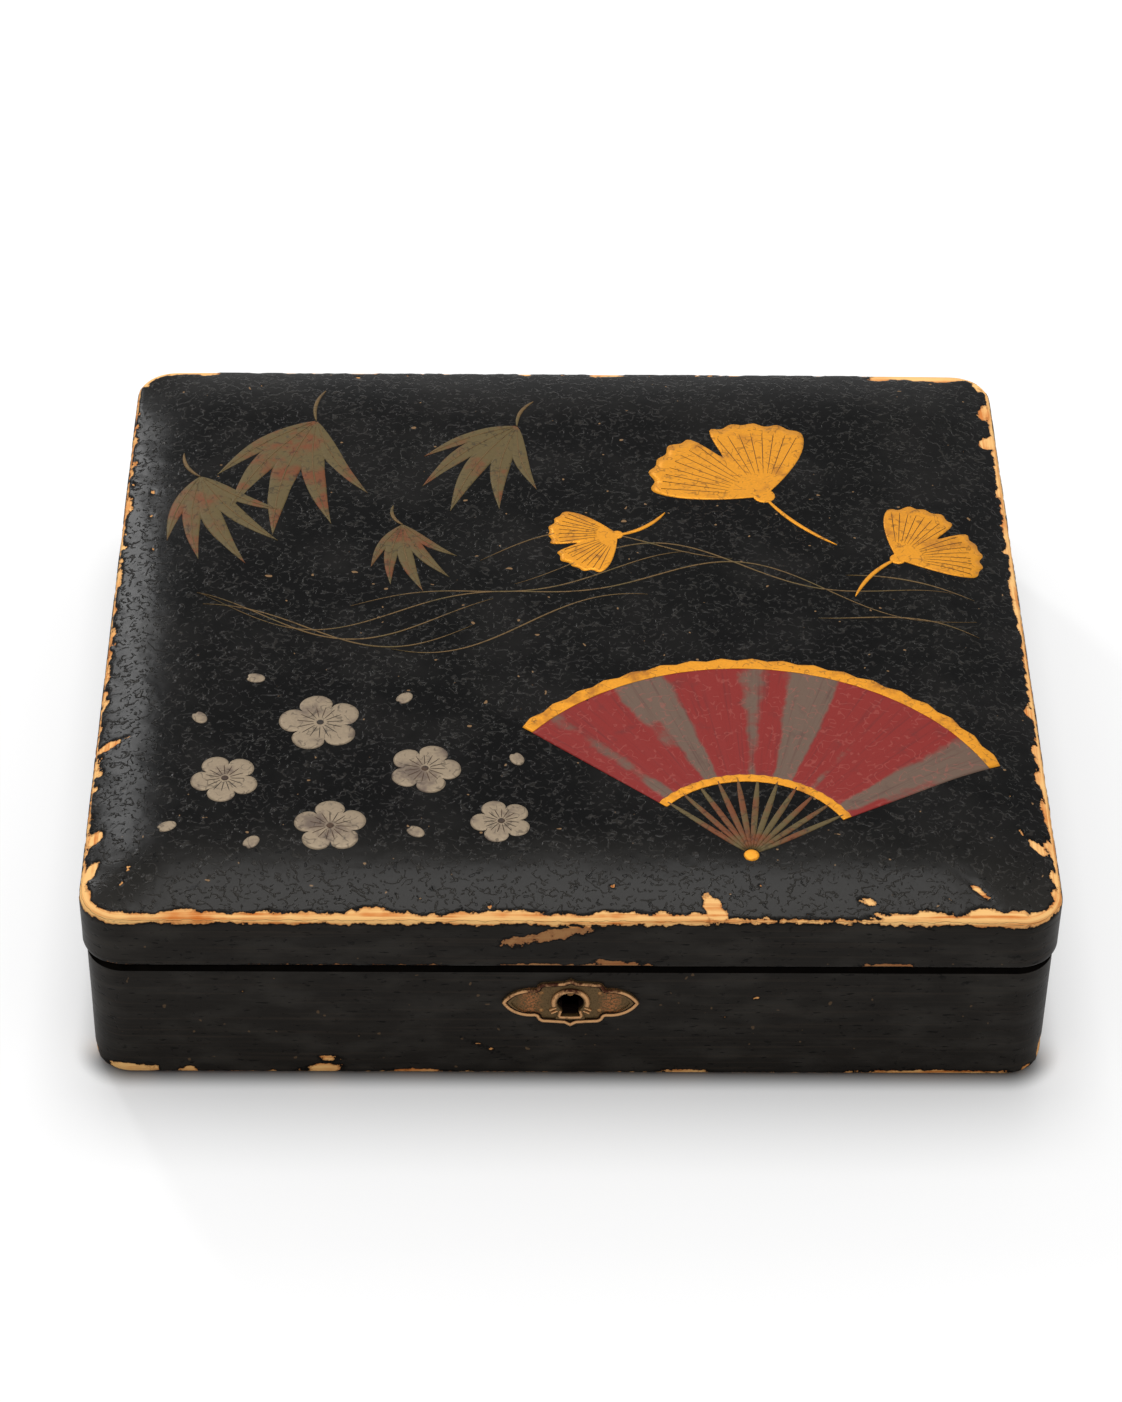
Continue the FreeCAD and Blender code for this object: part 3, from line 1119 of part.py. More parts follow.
def save_parts():
    """Checks every object, then writes each sub-part to its own file."""
    doc.recompute()
    for item in doc.Objects:
        if "Invalid" in item.State or "Error" in item.State:
            raise RuntimeError(f"{item.Label} failed: {item.State}")
    for item in PARTS:
        if item.Shape.isNull() or not item.Shape.isValid() or not item.Shape.Solids:
            raise RuntimeError(f"{item.Label} has no valid solid")
    os.makedirs("parts", exist_ok=True)
    for item in PARTS:
        item.Shape.exportStep(f"parts/{item.Label}.step")
        print(f"{item.Label}: {len(item.Shape.Solids)} solid(s), {item.Shape.Volume:.1f} mm3")


make_case()
make_lid()
make_hinges()
make_lock_case()
make_lock_works()
make_link_plate()
make_lock_screws()
make_escutcheon()
make_inkstone_board()
make_inkstone()
make_dropper()
make_tray("left_tray", -1)
make_tray("brush_tray", 1)
make_brush_rests()
make_brushes()
make_ink_stick()
save_parts()
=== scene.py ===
"""A worn black lacquer writing box, built around the CAD model: coats, lid design, brass and writing set."""

import itertools
import math

import bpy
import numpy as np
from bpy.props import FloatProperty, FloatVectorProperty, IntProperty, PointerProperty
from mathutils import Matrix, Vector


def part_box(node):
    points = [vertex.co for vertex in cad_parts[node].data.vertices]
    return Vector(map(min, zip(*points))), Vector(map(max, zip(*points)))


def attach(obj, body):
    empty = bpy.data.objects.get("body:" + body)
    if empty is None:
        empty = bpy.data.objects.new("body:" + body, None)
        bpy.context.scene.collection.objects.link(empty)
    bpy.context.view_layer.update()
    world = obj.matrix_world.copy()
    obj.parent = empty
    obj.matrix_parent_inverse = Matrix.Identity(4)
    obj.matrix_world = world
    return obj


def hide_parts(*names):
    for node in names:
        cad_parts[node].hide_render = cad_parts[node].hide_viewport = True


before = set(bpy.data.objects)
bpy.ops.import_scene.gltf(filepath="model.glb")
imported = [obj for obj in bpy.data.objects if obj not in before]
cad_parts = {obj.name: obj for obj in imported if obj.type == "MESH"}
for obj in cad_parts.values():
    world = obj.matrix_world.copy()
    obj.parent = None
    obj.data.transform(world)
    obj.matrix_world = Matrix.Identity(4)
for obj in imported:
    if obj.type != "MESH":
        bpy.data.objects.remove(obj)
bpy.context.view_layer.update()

bl_info = {
    "name": "Lacquer Writing Box",
    "version": (1, 0, 0),
    "blender": (4, 5, 0),
    "location": "3D View > Sidebar > Writing Box",
    "description": "Coats, lid design, brass, writing set and studio of a worn lacquer writing box",
    "category": "Add Mesh",
}

MM = 0.001


def tint(red, green, blue):
    """A linear colour from the 0 to 255 values that a screen shows."""
    shares = [value / 255 for value in (red, green, blue)]
    return tuple(s / 12.92 if s <= 0.04045 else ((s + 0.055) / 1.055) ** 2.4 for s in shares)


def half_sizes(node, other):
    """Half the width and half the depth, in mm, over two nodes that are centred on the origin."""
    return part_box(node)[1].x / MM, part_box(other)[1].y / MM


LID_HALF = half_sizes("lid_right_rail", "lid_back_rail")
CASE_HALF = half_sizes("base_right_wall", "base_back_wall")
LID_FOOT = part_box("lid_front_rail")[0].z / MM
CASE_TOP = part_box("base_front_wall")[1].z / MM
RAIL_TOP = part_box("lid_front_rail")[1].z / MM

# The wood's own shape, as the CAD model has it, in mm
LID_RADIUS = 11
CASE_RADIUS = 10
PANEL_EDGE = 4
DOME_RISE = 5
SHOULDER = 28
FULLNESS = 0.93
ARRIS = RAIL_TOP + PANEL_EDGE
LIP_ROUND = 0.6
FOOT_ROUND = 1.5
HINGE_AXIS = CASE_HALF[1] - 2.5
BEVEL_SLOPE = math.tan(math.radians(51))
KEY_HEIGHT = 27.4
PLATE_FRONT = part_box("escutcheon")[0].y / MM

# The coats, in mm: thickness, points round the box, depth of the closed shells, gaps, and half the window
COAT = 0.25
SUNK = -0.15
LID_COLUMNS = 1200
CASE_COLUMNS = 960
DOME_RATIO = 4
SHELL_SIDE = 1.0
SHELL_LIP = 1.2
SHELL_TOP = 0.8
CASE_SHELL = 0.9
BEVEL_GAP = 0.1
FLOOR_GAP = 0.03
WINDOW_HALF = (8, 6)

# The coats' surface, in mm: length of its waves, heights of the seam's painted shade, and the strip at the
# front that is rubbed by hands and painted lighter as a highlight
LID_WAVE = 9.0
CASE_WAVE = 11.0
LID_SHADE = 0.35
CASE_SHADE = 2.2
RUB_SHEEN_FRONT = 2
RUB_SHEEN_BACK = 36
UNWORN = -5.0
LATTICE_STRIDES = (73856093, 19349663, 83492791)
LATTICE_VALUES = 8192

# The floor, to the camera: the width of its painted shade before the foot, in metres, and its glow
FOOT_SHADE = 0.007
FLOOR_GLOW = 0.33


def size(name, default, text):
    """A length in metres that the user may change."""
    return FloatProperty(name=name, description=text, default=default, unit="LENGTH", precision=5)


def share(name, default, text):
    """A plain share or strength."""
    return FloatProperty(name=name, description=text, default=default, min=0)


def tilt(name, default, text):
    """An angle, written in degrees."""
    return FloatProperty(name=name, description=text, default=math.radians(default), subtype="ANGLE")


def colour(name, default, text):
    """A surface colour, in linear values."""
    return FloatVectorProperty(name=name, description=text, default=default, subtype="COLOR", min=0, max=1)


class CoatSettings(bpy.types.PropertyGroup):
    """The lacquer coats of lid and case, and their wear."""

    thickness: size("Coat", COAT * MM, "How far the sound lacquer stands out from the wood")
    bare_thickness: size("Worn Coat", 0.00005, "How far the surface stands out where the wood shows")
    arris_round: size("Arris", 0.0015, "Rounding of the lid's upper arris")
    unevenness: size("Unevenness", 0.00006, "How far the lacquer's surface wavers")
    wear: share("Wear", 1.0, "Width of the worn stretches, as a share of what the photograph shows")
    seed: IntProperty(name="Seed", description="Picks the scatter of chips and dents", default=7)
    black: colour("Black", tint(9, 9, 9), "The lacquer")
    wood: colour("Wood", tint(255, 202, 130), "Fresh bare wood")
    old_wood: colour("Old Wood", tint(214, 118, 48), "Bare wood that has darkened")
    inner: colour("Inside", tint(24, 17, 15), "The lacquer inside the box")


class DesignSettings(bpy.types.PropertyGroup):
    """The scattered design of leaves, fan, blossoms and stream lines on the lid."""

    thickness: size("Thickness", 0.00014, "How far a motif stands out from the lacquer")
    line_width: size("Line Width", 0.0005, "Width of a stream line")
    gold: colour("Gold", tint(250, 166, 34), "Gold leaf")
    red: colour("Red", tint(134, 27, 20), "Red lacquer")
    grey: colour("Grey", tint(106, 84, 70), "Grey-brown lacquer of the fan's other panels")
    olive: colour("Olive", tint(102, 86, 48), "Olive lacquer of the leaves")
    russet: colour("Russet", tint(122, 66, 30), "Russet tinge of the leaves")
    silver: colour("Silver", tint(160, 142, 118), "Tarnished silver of the blossoms")
    line: colour("Line", tint(118, 92, 54), "Thin gold-brown lines")


class FittingSettings(bpy.types.PropertyGroup):
    """Brass and the writing set."""

    brass: colour("Brass", tint(176, 128, 78), "Brass where hands keep it bright")
    old_brass: colour("Old Brass", tint(112, 88, 54), "Tarnished brass")
    bead_height: size("Bead", 0.0004, "How far the escutcheon's rolled border stands out")
    bronze: colour("Bronze", tint(74, 58, 42), "The water dropper")
    slate: colour("Slate", tint(52, 54, 60), "The inkstone")
    ink: colour("Ink", tint(18, 18, 20), "The ink stick")
    bamboo: colour("Bamboo", tint(196, 152, 92), "The brush handles")
    hair: colour("Hair", tint(226, 214, 190), "The brush tips")


class StudioSettings(bpy.types.PropertyGroup):
    """Camera, lamps and floor."""

    camera_place: FloatVectorProperty(
        name="Camera",
        description="Where the camera stands",
        default=(-0.01794, -0.8417, 0.76276),
        subtype="XYZ",
        unit="LENGTH",
    )
    pitch: tilt("Pitch", 41.062, "Downward tilt of the camera")
    yaw: tilt("Yaw", 1.117, "Turn of the camera to the right")
    roll: tilt("Roll", 0.989, "Roll of the camera")
    lens: FloatProperty(
        name="Lens",
        description="Focal length for a long side of 36 mm",
        default=102.885,
        subtype="DISTANCE_CAMERA",
    )
    top_light: share("Top Light", 11.0, "Power of the lamp overhead, in watts")
    back_light: share("Back Light", 6.5, "Power of the lamp at the back left, in watts")
    ambient: share("Ambient", 0.62, "Brightness of the white room")
    floor: colour("Floor", (0.72, 0.72, 0.72), "The floor")


class Socket:
    """A node's output that takes part in arithmetic: each operator adds its Math node."""

    def __init__(self, finish, output):
        self.finish = finish
        self.output = output

    def math(self, operation, first, second=0.0):
        return self.finish.node("ShaderNodeMath", {"operation": operation}, {0: first, 1: second})

    def __add__(self, other):
        return self.math("ADD", self, other)

    def __radd__(self, other):
        return self.math("ADD", other, self)

    def __sub__(self, other):
        return self.math("SUBTRACT", self, other)

    def __rsub__(self, other):
        return self.math("SUBTRACT", other, self)

    def __mul__(self, other):
        return self.math("MULTIPLY", self, other)

    def __rmul__(self, other):
        return self.math("MULTIPLY", other, self)

    def __abs__(self):
        return self.math("ABSOLUTE", self)


def socket_of(sockets, key):
    """The socket with that number, or the live one with that name or identifier."""
    if isinstance(key, int):
        return sockets[key]
    return next(s for s in sockets if s.enabled and key in (s.name, s.identifier))


class Finish:
    """The node tree of a material, or of a world, while it is made."""

    def __init__(self, name, store=None):
        self.owner = (bpy.data.materials if store is None else store).new(name)
        self.owner.use_nodes = True
        self.nodes = self.owner.node_tree.nodes
        self.links = self.owner.node_tree.links
        self.nodes.clear()
        self.place = self.node("ShaderNodeTexCoord", out="Object")

    def node(self, kind, settings=None, sockets=None, out=0):
        """Adds a node from its type, its settings and its sockets' values or links, and gives one output."""
        made = self.nodes.new(kind)
        for setting, value in (settings or {}).items():
            setattr(made, setting, value)
        for key, value in (sockets or {}).items():
            target = socket_of(made.inputs, key)
            if isinstance(value, Socket):
                self.links.new(value.output, target)
            elif target.type == "RGBA":
                target.default_value = (*value[:3], 1)
            else:
                target.default_value = value
        return Socket(self, socket_of(made.outputs, out)) if made.outputs else None

    def attribute(self, name):
        """A value that the piece stores at each of its points."""
        return self.node("ShaderNodeAttribute", {"attribute_name": name}, out="Fac")

    def run(self):
        """The piece's own coordinates: lengths in metres on a coat, and shares on a motif or a brush tip."""
        return self.node("ShaderNodeUVMap", {"uv_map": "Run"})

    def axis(self, letter, of=None):
        """One coordinate of the place, or of another vector."""
        return self.node("ShaderNodeSeparateXYZ", sockets={"Vector": of or self.place}, out=letter)

    def scaled(self, vector, scale, shift=(0, 0, 0)):
        """A vector times a scale for each axis, and then moved."""
        return self.node("ShaderNodeMapping", sockets={"Vector": vector, "Scale": scale, "Location": shift})

    def cells(self, scale):
        """The distance to the nearest of many scattered points."""
        sockets = {"Vector": self.place, "Scale": scale}
        return self.node("ShaderNodeTexVoronoi", sockets=sockets, out="Distance")

    def noise(self, scale, detail=2.0, roughness=0.5, distortion=0.0, at=None):
        """Noise over the place, or over another vector."""
        sockets = {"Scale": scale, "Detail": detail, "Roughness": roughness, "Distortion": distortion}
        return self.node("ShaderNodeTexNoise", sockets={"Vector": at or self.place, **sockets})

    def stretched(self, vector, scale, detail=2.0, roughness=0.5, distortion=0.0, shift=(0, 0, 0)):
        """Noise that has a scale of its own along each axis of a vector."""
        return self.noise(1.0, detail, roughness, distortion, self.scaled(vector, scale, shift))

    def step(self, value, low, high, low_out=0.0, high_out=1.0):
        """An eased step of a value from low to high."""
        sockets = {"Value": value, "From Min": low, "From Max": high, "To Min": low_out, "To Max": high_out}
        return self.node("ShaderNodeMapRange", {"interpolation_type": "SMOOTHSTEP"}, sockets)

    def fade(self, value, low, high):
        """An eased step down, from 1 at low to 0 at high."""
        return self.step(value, low, high, 1.0, 0.0)

    def mix(self, factor, first, second):
        """Mixes two colours."""
        sockets = {"Factor_Float": factor, "A_Color": first, "B_Color": second}
        return self.node("ShaderNodeMix", {"data_type": "RGBA"}, sockets, "Result_Color")

    def layers(self, base, *coats):
        """Lays colours over a base one after another, each with its own share."""
        for cover, colour in coats:
            base = self.mix(cover, base, colour)
        return base

    def bump(self, height, distance, strength):
        """A normal from a height, whose full range stands for the distance."""
        sockets = {"Height": height, "Distance": distance, "Strength": strength}
        return self.node("ShaderNodeBump", sockets=sockets)

    def hairs(self, scale, width, kept, shift):
        """Short curved hairlines: the level line of a noise, broken by a finer noise."""
        vector = self.scaled(self.place, (1, 1, 1), shift)
        line = self.fade(abs(self.noise(scale, 1.0, at=vector) - 0.5), 0.0, width)
        pieces = self.step(self.noise(scale * 1.7, 0.0, at=vector), kept, kept + 0.05)
        return line * pieces

    def surface(self, **sockets):
        """Ends the tree in one principled shader, and gives the material."""
        names = {key.replace("_", " ").title().replace("Ior", "IOR"): value for key, value in sockets.items()}
        shader = self.node("ShaderNodeBsdfPrincipled", sockets=names)
        self.node("ShaderNodeOutputMaterial", sockets={"Surface": shader})
        return self.owner


def ripple(places, length, seed):
    """Smooth noise from -1 to 1: random values on a lattice, blended by 3t^2 - 2t^3 along each axis."""
    scaled = np.asarray(places, float) / length
    cell = np.floor(scaled).astype(np.int64)
    part = scaled - cell
    part = part * part * (3 - 2 * part)
    values = np.random.default_rng(seed).uniform(-1, 1, LATTICE_VALUES)
    total = 0
    for corner in itertools.product((0, 1), repeat=3):
        weight = np.prod(np.where(corner, part, 1 - part), axis=-1)
        total = total + weight * values[((cell + corner) @ np.array(LATTICE_STRIDES)) % LATTICE_VALUES]
    return total


def ease(value, low, high):
    """An eased step from 0 at low to 1 at high: 3t^2 - 2t^3."""
    part = np.clip((value - low) / (high - low), 0, 1)
    return part * part * (3 - 2 * part)


def dome_share(place, half):
    """How much of the dome's rise one direction gives: a quadratic spline.

    It is 0 at the edge, and nearly level inside the shoulder."""
    span = 2 * (half - SHOULDER)
    knee = (span * FULLNESS + SHOULDER) / (span + SHOULDER)
    inward = (half - np.abs(place)) / SHOULDER
    falling = 2 * inward * (1 - inward) * FULLNESS + inward**2 * knee
    along = np.clip((half - SHOULDER - np.abs(place)) / span, 0, 1)
    return np.where(inward < 1, falling, knee + 2 * (1 - knee) * along * (1 - along))


def dome(x, y):
    """The height of the wooden dome: the arris plus the rise times both directions' shares."""
    return ARRIS + DOME_RISE * dome_share(x, LID_HALF[0]) * dome_share(y, LID_HALF[1])


def on_dome(flat, lift=0.0):
    """Flat points raised to the height of the wooden dome plus a lift."""
    height = dome(flat[..., 0], flat[..., 1]) + lift
    return np.concatenate((flat, height[..., None]), -1)


def perimeter(half, radius, count):
    """A rounded rectangle, evenly spaced and counter-clockwise from the middle of the back.

    A point is its corner's centre plus the radius times its outward direction. Gives length, centre and
    direction."""
    width, depth = half[0] - radius, half[1] - radius
    bend = math.pi * radius / 2
    steps = np.array([0, width, bend, 2 * depth, bend, 2 * width, bend, 2 * depth, bend, width])
    knots = np.cumsum(steps)
    length = np.arange(count) * knots[-1] / count
    left, right = -width, width
    x = np.interp(length, knots, (0, left, left, left, left, right, right, right, right, 0))
    y = np.interp(length, knots, (depth, depth, depth, -depth, -depth, -depth, -depth, depth, depth, depth))
    angle = np.interp(length, knots, np.radians((90, 90, 180, 180, 270, 270, 360, 360, 450, 450)))
    return length, np.stack((x, y), -1), np.stack((np.cos(angle), np.sin(angle)), -1)


def inset_of(x, y, half, radius):
    """How far a point lies inside a rounded rectangle."""
    past_x = np.abs(x) - half[0] + radius
    past_y = np.abs(y) - half[1] + radius
    outside = np.hypot(np.maximum(past_x, 0), np.maximum(past_y, 0))
    return radius - outside - np.minimum(np.maximum(past_x, past_y), 0)


def ring_band(lower, upper, columns):
    """The four-sided faces between two rings of equal counts."""
    column = np.arange(columns)
    after = (column + 1) % columns
    return np.stack((lower + column, lower + after, upper + after, upper + column), -1)


def grid_faces(rows, columns, first=0):
    """The four-sided faces of a grid of points, row by row, whose last column joins its first."""
    lower = first + columns * np.arange(rows - 1)[:, None]
    return ring_band(lower, lower + columns, columns).reshape(-1, 4)


def fan_faces(ring, columns, pole, upward=True):
    """The triangles between a ring's points and a pole."""
    column = np.arange(columns)
    after = (column + 1) % columns
    corners = (ring + column, ring + after, np.full(columns, pole))
    return np.stack(corners if upward else corners[::-1], -1)


def stitch_faces(fine, coarse, columns, ratio):
    """Faces from a fine ring to a coarse one with a whole ratio fewer points. Each takes one coarse step."""
    start = np.arange(columns)
    after = (start + 1) % columns
    fine_part = [fine + (start * ratio + step) % (columns * ratio) for step in range(ratio + 1)]
    return np.stack([*fine_part, coarse + after, coarse + start], -1)


def make_piece(name, points, faces, material, body, slot, run=None, fields=()):
    """Puts a worked-out surface, in mm, into a mesh in metres, with one finish and the body that it rides on.

    A face that closes the run's circle counts on past its full length, so no pattern is squeezed into it."""
    mesh = bpy.data.meshes.new(name)
    polygons = [face for group in faces for face in np.asarray(group).tolist()]
    mesh.from_pydata((np.asarray(points) * MM).tolist(), [], polygons)
    if run is not None:
        corners = np.zeros(len(mesh.loops), np.int64)
        mesh.loops.foreach_get("vertex_index", corners)
        starts = np.zeros(len(mesh.polygons), np.int64)
        mesh.polygons.foreach_get("loop_start", starts)
        across = run[corners, 0]
        full = run[:, 0].max()
        counts = np.diff(np.append(starts, len(corners)))
        furthest = np.repeat(np.maximum.reduceat(across, starts), counts)
        across = np.where(furthest - across > full / 2, across + full, across)
        layer = mesh.uv_layers.new(name="Run")
        layer.data.foreach_set("uv", np.stack((across, run[corners, 1]), -1).astype(np.float32).ravel())
    for key, values in fields:
        mesh.attributes.new(key, "FLOAT", "POINT").data.foreach_set("value", values.astype(np.float32))
    mesh.polygons.foreach_set("use_smooth", np.ones(len(mesh.polygons), bool))
    mesh.materials.append(material)
    mesh.update()
    piece = bpy.data.objects.new(name, mesh)
    bpy.context.scene.collection.objects.link(piece)
    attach(piece, body)
    return piece


class Edge:
    """Length and height over one run of surface round the box, for placing its wear.

    Height is counted from the arris: inward over the top, and negative down the side. The wear is above 0
    where the wood is bare, and says how far inside the worn place a point lies, in mm."""

    def __init__(self, half, radius, length, height, points, wear):
        self.width, self.depth = half[0] - radius, half[1] - radius
        self.bend = math.pi * radius / 2
        self.total = 4 * (self.width + self.depth + self.bend)
        self.length, self.height = length, height
        self.rough = 1 + 0.45 * ripple(points, 7.0, 11) + 0.3 * ripple(points, 2.2, 12)
        self.reach = wear * self.rough
        self.worn = np.full(np.shape(points)[:-1], UNWORN)

    def spot(self, side, place):
        """The length at a place along a side."""
        corner = self.width + self.bend
        if side == "left":
            return corner + self.depth - place
        if side == "front":
            return corner + 2 * self.depth + self.bend + place + self.width
        if side == "right":
            return corner + 2 * self.depth + 2 * self.bend + 2 * self.width + place + self.depth
        return -place % self.total

    def along(self, side, place):
        """How far each point lies past a place on a side, the short way round the box."""
        return (self.length - self.spot(side, place) + self.total / 2) % self.total - self.total / 2

    def within(self, side, start, end):
        """How far each point lies within a stretch of a side, counted along the edge."""
        return (end - start) / 2 - np.abs(self.along(side, (start + end) / 2))

    def stretch(self, side, start, end, up, down):
        """A worn stretch: inside it by the least of its distances to the bounds and half that to an end."""
        across = np.minimum(up * self.reach - self.height, self.height + down * self.reach)
        self.worn = np.maximum(self.worn, np.minimum(across, 0.5 * self.within(side, start, end)))

    def chip(self, side, place, level, reach, rise, slant=0.0, deepest=9.0):
        """A chip: an ellipse, inside it by its smaller half-size times 1 less the distance in half-sizes."""
        along = self.along(side, place)
        across = self.height - level - slant * along
        apart = np.hypot(along / reach, across / rise) / (0.45 + 0.55 * self.rough)
        self.worn = np.maximum(self.worn, np.minimum(min(reach, rise) * (1 - apart), deepest))

    def nicks(self, side, start, end, count, seed, slant):
        """A row of slanted nicks along the arris, at seeded places and sizes."""
        random = np.random.default_rng(seed)
        places = np.sort(random.uniform(start, end, count))
        for place, reach in zip(places, random.uniform(1.0, 2.6, count)):
            self.chip(side, place, random.uniform(-0.2, 0.9), reach, random.uniform(0.5, 0.9), slant)

    def scatter(self, count, seed, low, high, largest):
        """Small seeded chips anywhere along the edge, between two heights."""
        random = np.random.default_rng(seed)
        lengths = random.uniform(0, self.total, count)
        levels = random.uniform(low, high, count)
        for length, level, reach in zip(lengths, levels, random.uniform(0.3, largest, count)):
            self.chip("back", -length, level, reach, reach * 0.7)


def wear_lid(edge):
    """The worn arris of the lid: bare wood along the front, thin lines at the sides, and chips."""
    for side, start, end, up, down in (
        ("front", -131, 35, 2.3, 1.5),
        ("front", 34, 80, 0.5, 0.7),
        ("front", 78, 131, 2.4, 1.4),
        ("left", -116, -96, 1.7, 1.0),
        ("left", -108, 110, 0.2, 0.8),
        ("right", -116, 112, 1.3, 1.0),
        ("back", -112, 112, 0.3, 0.6),
        ("back", 92, 126, 3.2, 0.8),
        ("back", -128, -104, 2.0, 0.9),
    ):
        edge.stretch(side, start, end, up, down)
    edge.nicks("left", -98, 106, count=46, seed=24, slant=-0.35)
    edge.nicks("back", -104, 92, count=20, seed=25, slant=0.2)
    edge.nicks("right", -100, 104, count=30, seed=26, slant=0.3)
    for side, place, level, reach, rise, slant in (
        ("front", 37, 3.4, 2.4, 4.4, 0),
        ("front", -52, 1.8, 7, 1.5, 0),
        ("front", -14, 1.6, 9, 1.4, 0),
        ("front", 107, 2.2, 4.5, 1.7, 0),
        ("front", 79, 5.6, 1.7, 0.9, 0),
        ("front", 112.5, 9.5, 1.0, 2.0, 0.2),
        ("left", -89, 2.4, 2.6, 1.9, 0.2),
        ("left", -101, 2.2, 3.4, 2.4, 0),
        ("left", -53, 3.0, 1.3, 5.0, -0.5),
        ("left", 20, 0.6, 4, 1.2, 0),
        ("right", -93.5, 4.8, 2.0, 2.2, 0),
        ("right", 84, 2.0, 3.2, 3.4, 0),
        ("right", 99, 2.4, 3.6, 1.8, 0),
        ("right", 16, 1.2, 5.0, 1.3, 0),
        ("right", 60, 0.8, 3.0, 1.5, 0),
        ("back", 12, 0.8, 5.0, 1.8, 0),
        ("back", -60, 0.5, 4.0, 1.0, 0),
    ):
        edge.chip(side, place, level, reach, rise, slant)
    for place in (-36.6, -52, -62.5, -74, -89, -101):
        edge.chip("right", place, 1.2, 3.2, 1.7)
    edge.chip("front", -6, -5.2, 12, 1.7, slant=0.26, deepest=0.35)
    edge.chip("front", -14, -6.9, 4, 0.9, slant=0.1, deepest=0.35)
    edge.scatter(70, 21, -1.2, 1.8, 1.3)
    edge.scatter(26, 22, 1.5, 14, 0.55)


def wear_lip(edge, above):
    """The worn lower arris of the lid's front, by the heights above the lip. It stays low on the side."""
    low = edge.height < edge.height.min() / 3
    for start, end, up in (
        (-18, 20, 0.7),
        (7, 17.5, 2.2),
        (74, 87, 1.0),
        (-84, -56, 0.35),
        (-50, -32, 0.3),
        (-118, -108, 0.3),
    ):
        inside = np.minimum(up * edge.reach - above, 0.35 * edge.within("front", start, end))
        edge.worn = np.maximum(edge.worn, np.where(low, inside, UNWORN))


def wear_case(edge):
    """The worn foot of the case: chips along the lower arris and the corners."""
    for side, start, end, up in (
        ("front", -124, 124, 0.2),
        ("left", -100, 104, 0.3),
        ("right", -100, 104, 0.4),
        ("back", -118, 118, 0.3),
    ):
        edge.stretch(side, start, end, up, 1.2)
    for side, place, level, reach, rise, slant in (
        ("front", -114, 1.0, 7, 2.0, 0),
        ("front", -99, 0.8, 1.6, 1.4, 0),
        ("front", -64, 1.2, 4.6, 2.0, 0),
        ("front", -63, 5.4, 2.2, 0.8, 0),
        ("front", -39, 0.5, 7, 1.1, 0),
        ("front", 30, 0.4, 6, 0.9, 0),
        ("front", 96, 0.4, 20, 1.0, 0),
        ("front", -20.7, 9, 3.2, 0.4, -0.6),
        ("right", -108, 3.0, 2.4, 3.6, 0),
        ("left", -106, 1.2, 3.4, 2.0, 0),
    ):
        edge.chip(side, place, level, reach, rise, slant)
    edge.scatter(50, 31, 0, 1.6, 1.4)
    edge.scatter(24, 32, 4, 36, 0.4)


def hinge_bevel(back):
    """How far the back bevel cuts a lip away: a slope that starts at the hinge's axis, and a small gap."""
    return np.where(back > HINGE_AXIS, (back - HINGE_AXIS) * BEVEL_SLOPE + BEVEL_GAP, 0)


def rounding(radius, level, angle):
    """A ring on a rounded arris: how far beyond the outline, how high, and its direction out and up."""
    return radius * (np.cos(angle) - 1), level + radius * np.sin(angle), np.cos(angle), np.sin(angle)


def profile(rows, columns):
    """Rings one above another as four arrays: beyond the outline, height, direction out and direction up."""
    return [np.stack([np.broadcast_to(value, columns) for value in values]) for values in zip(*rows)]


def coat_lift(settings, worn, points, wave, seed):
    """How far the coat stands out: thickness and unevenness, eased to the bare thickness where it is worn."""
    thick, bare, uneven = settings.thickness / MM, settings.bare_thickness / MM, settings.unevenness / MM
    sound = 1 - ease(worn, -0.35, 0.1)
    return bare + (thick - bare + uneven * ripple(points, wave, seed)) * sound


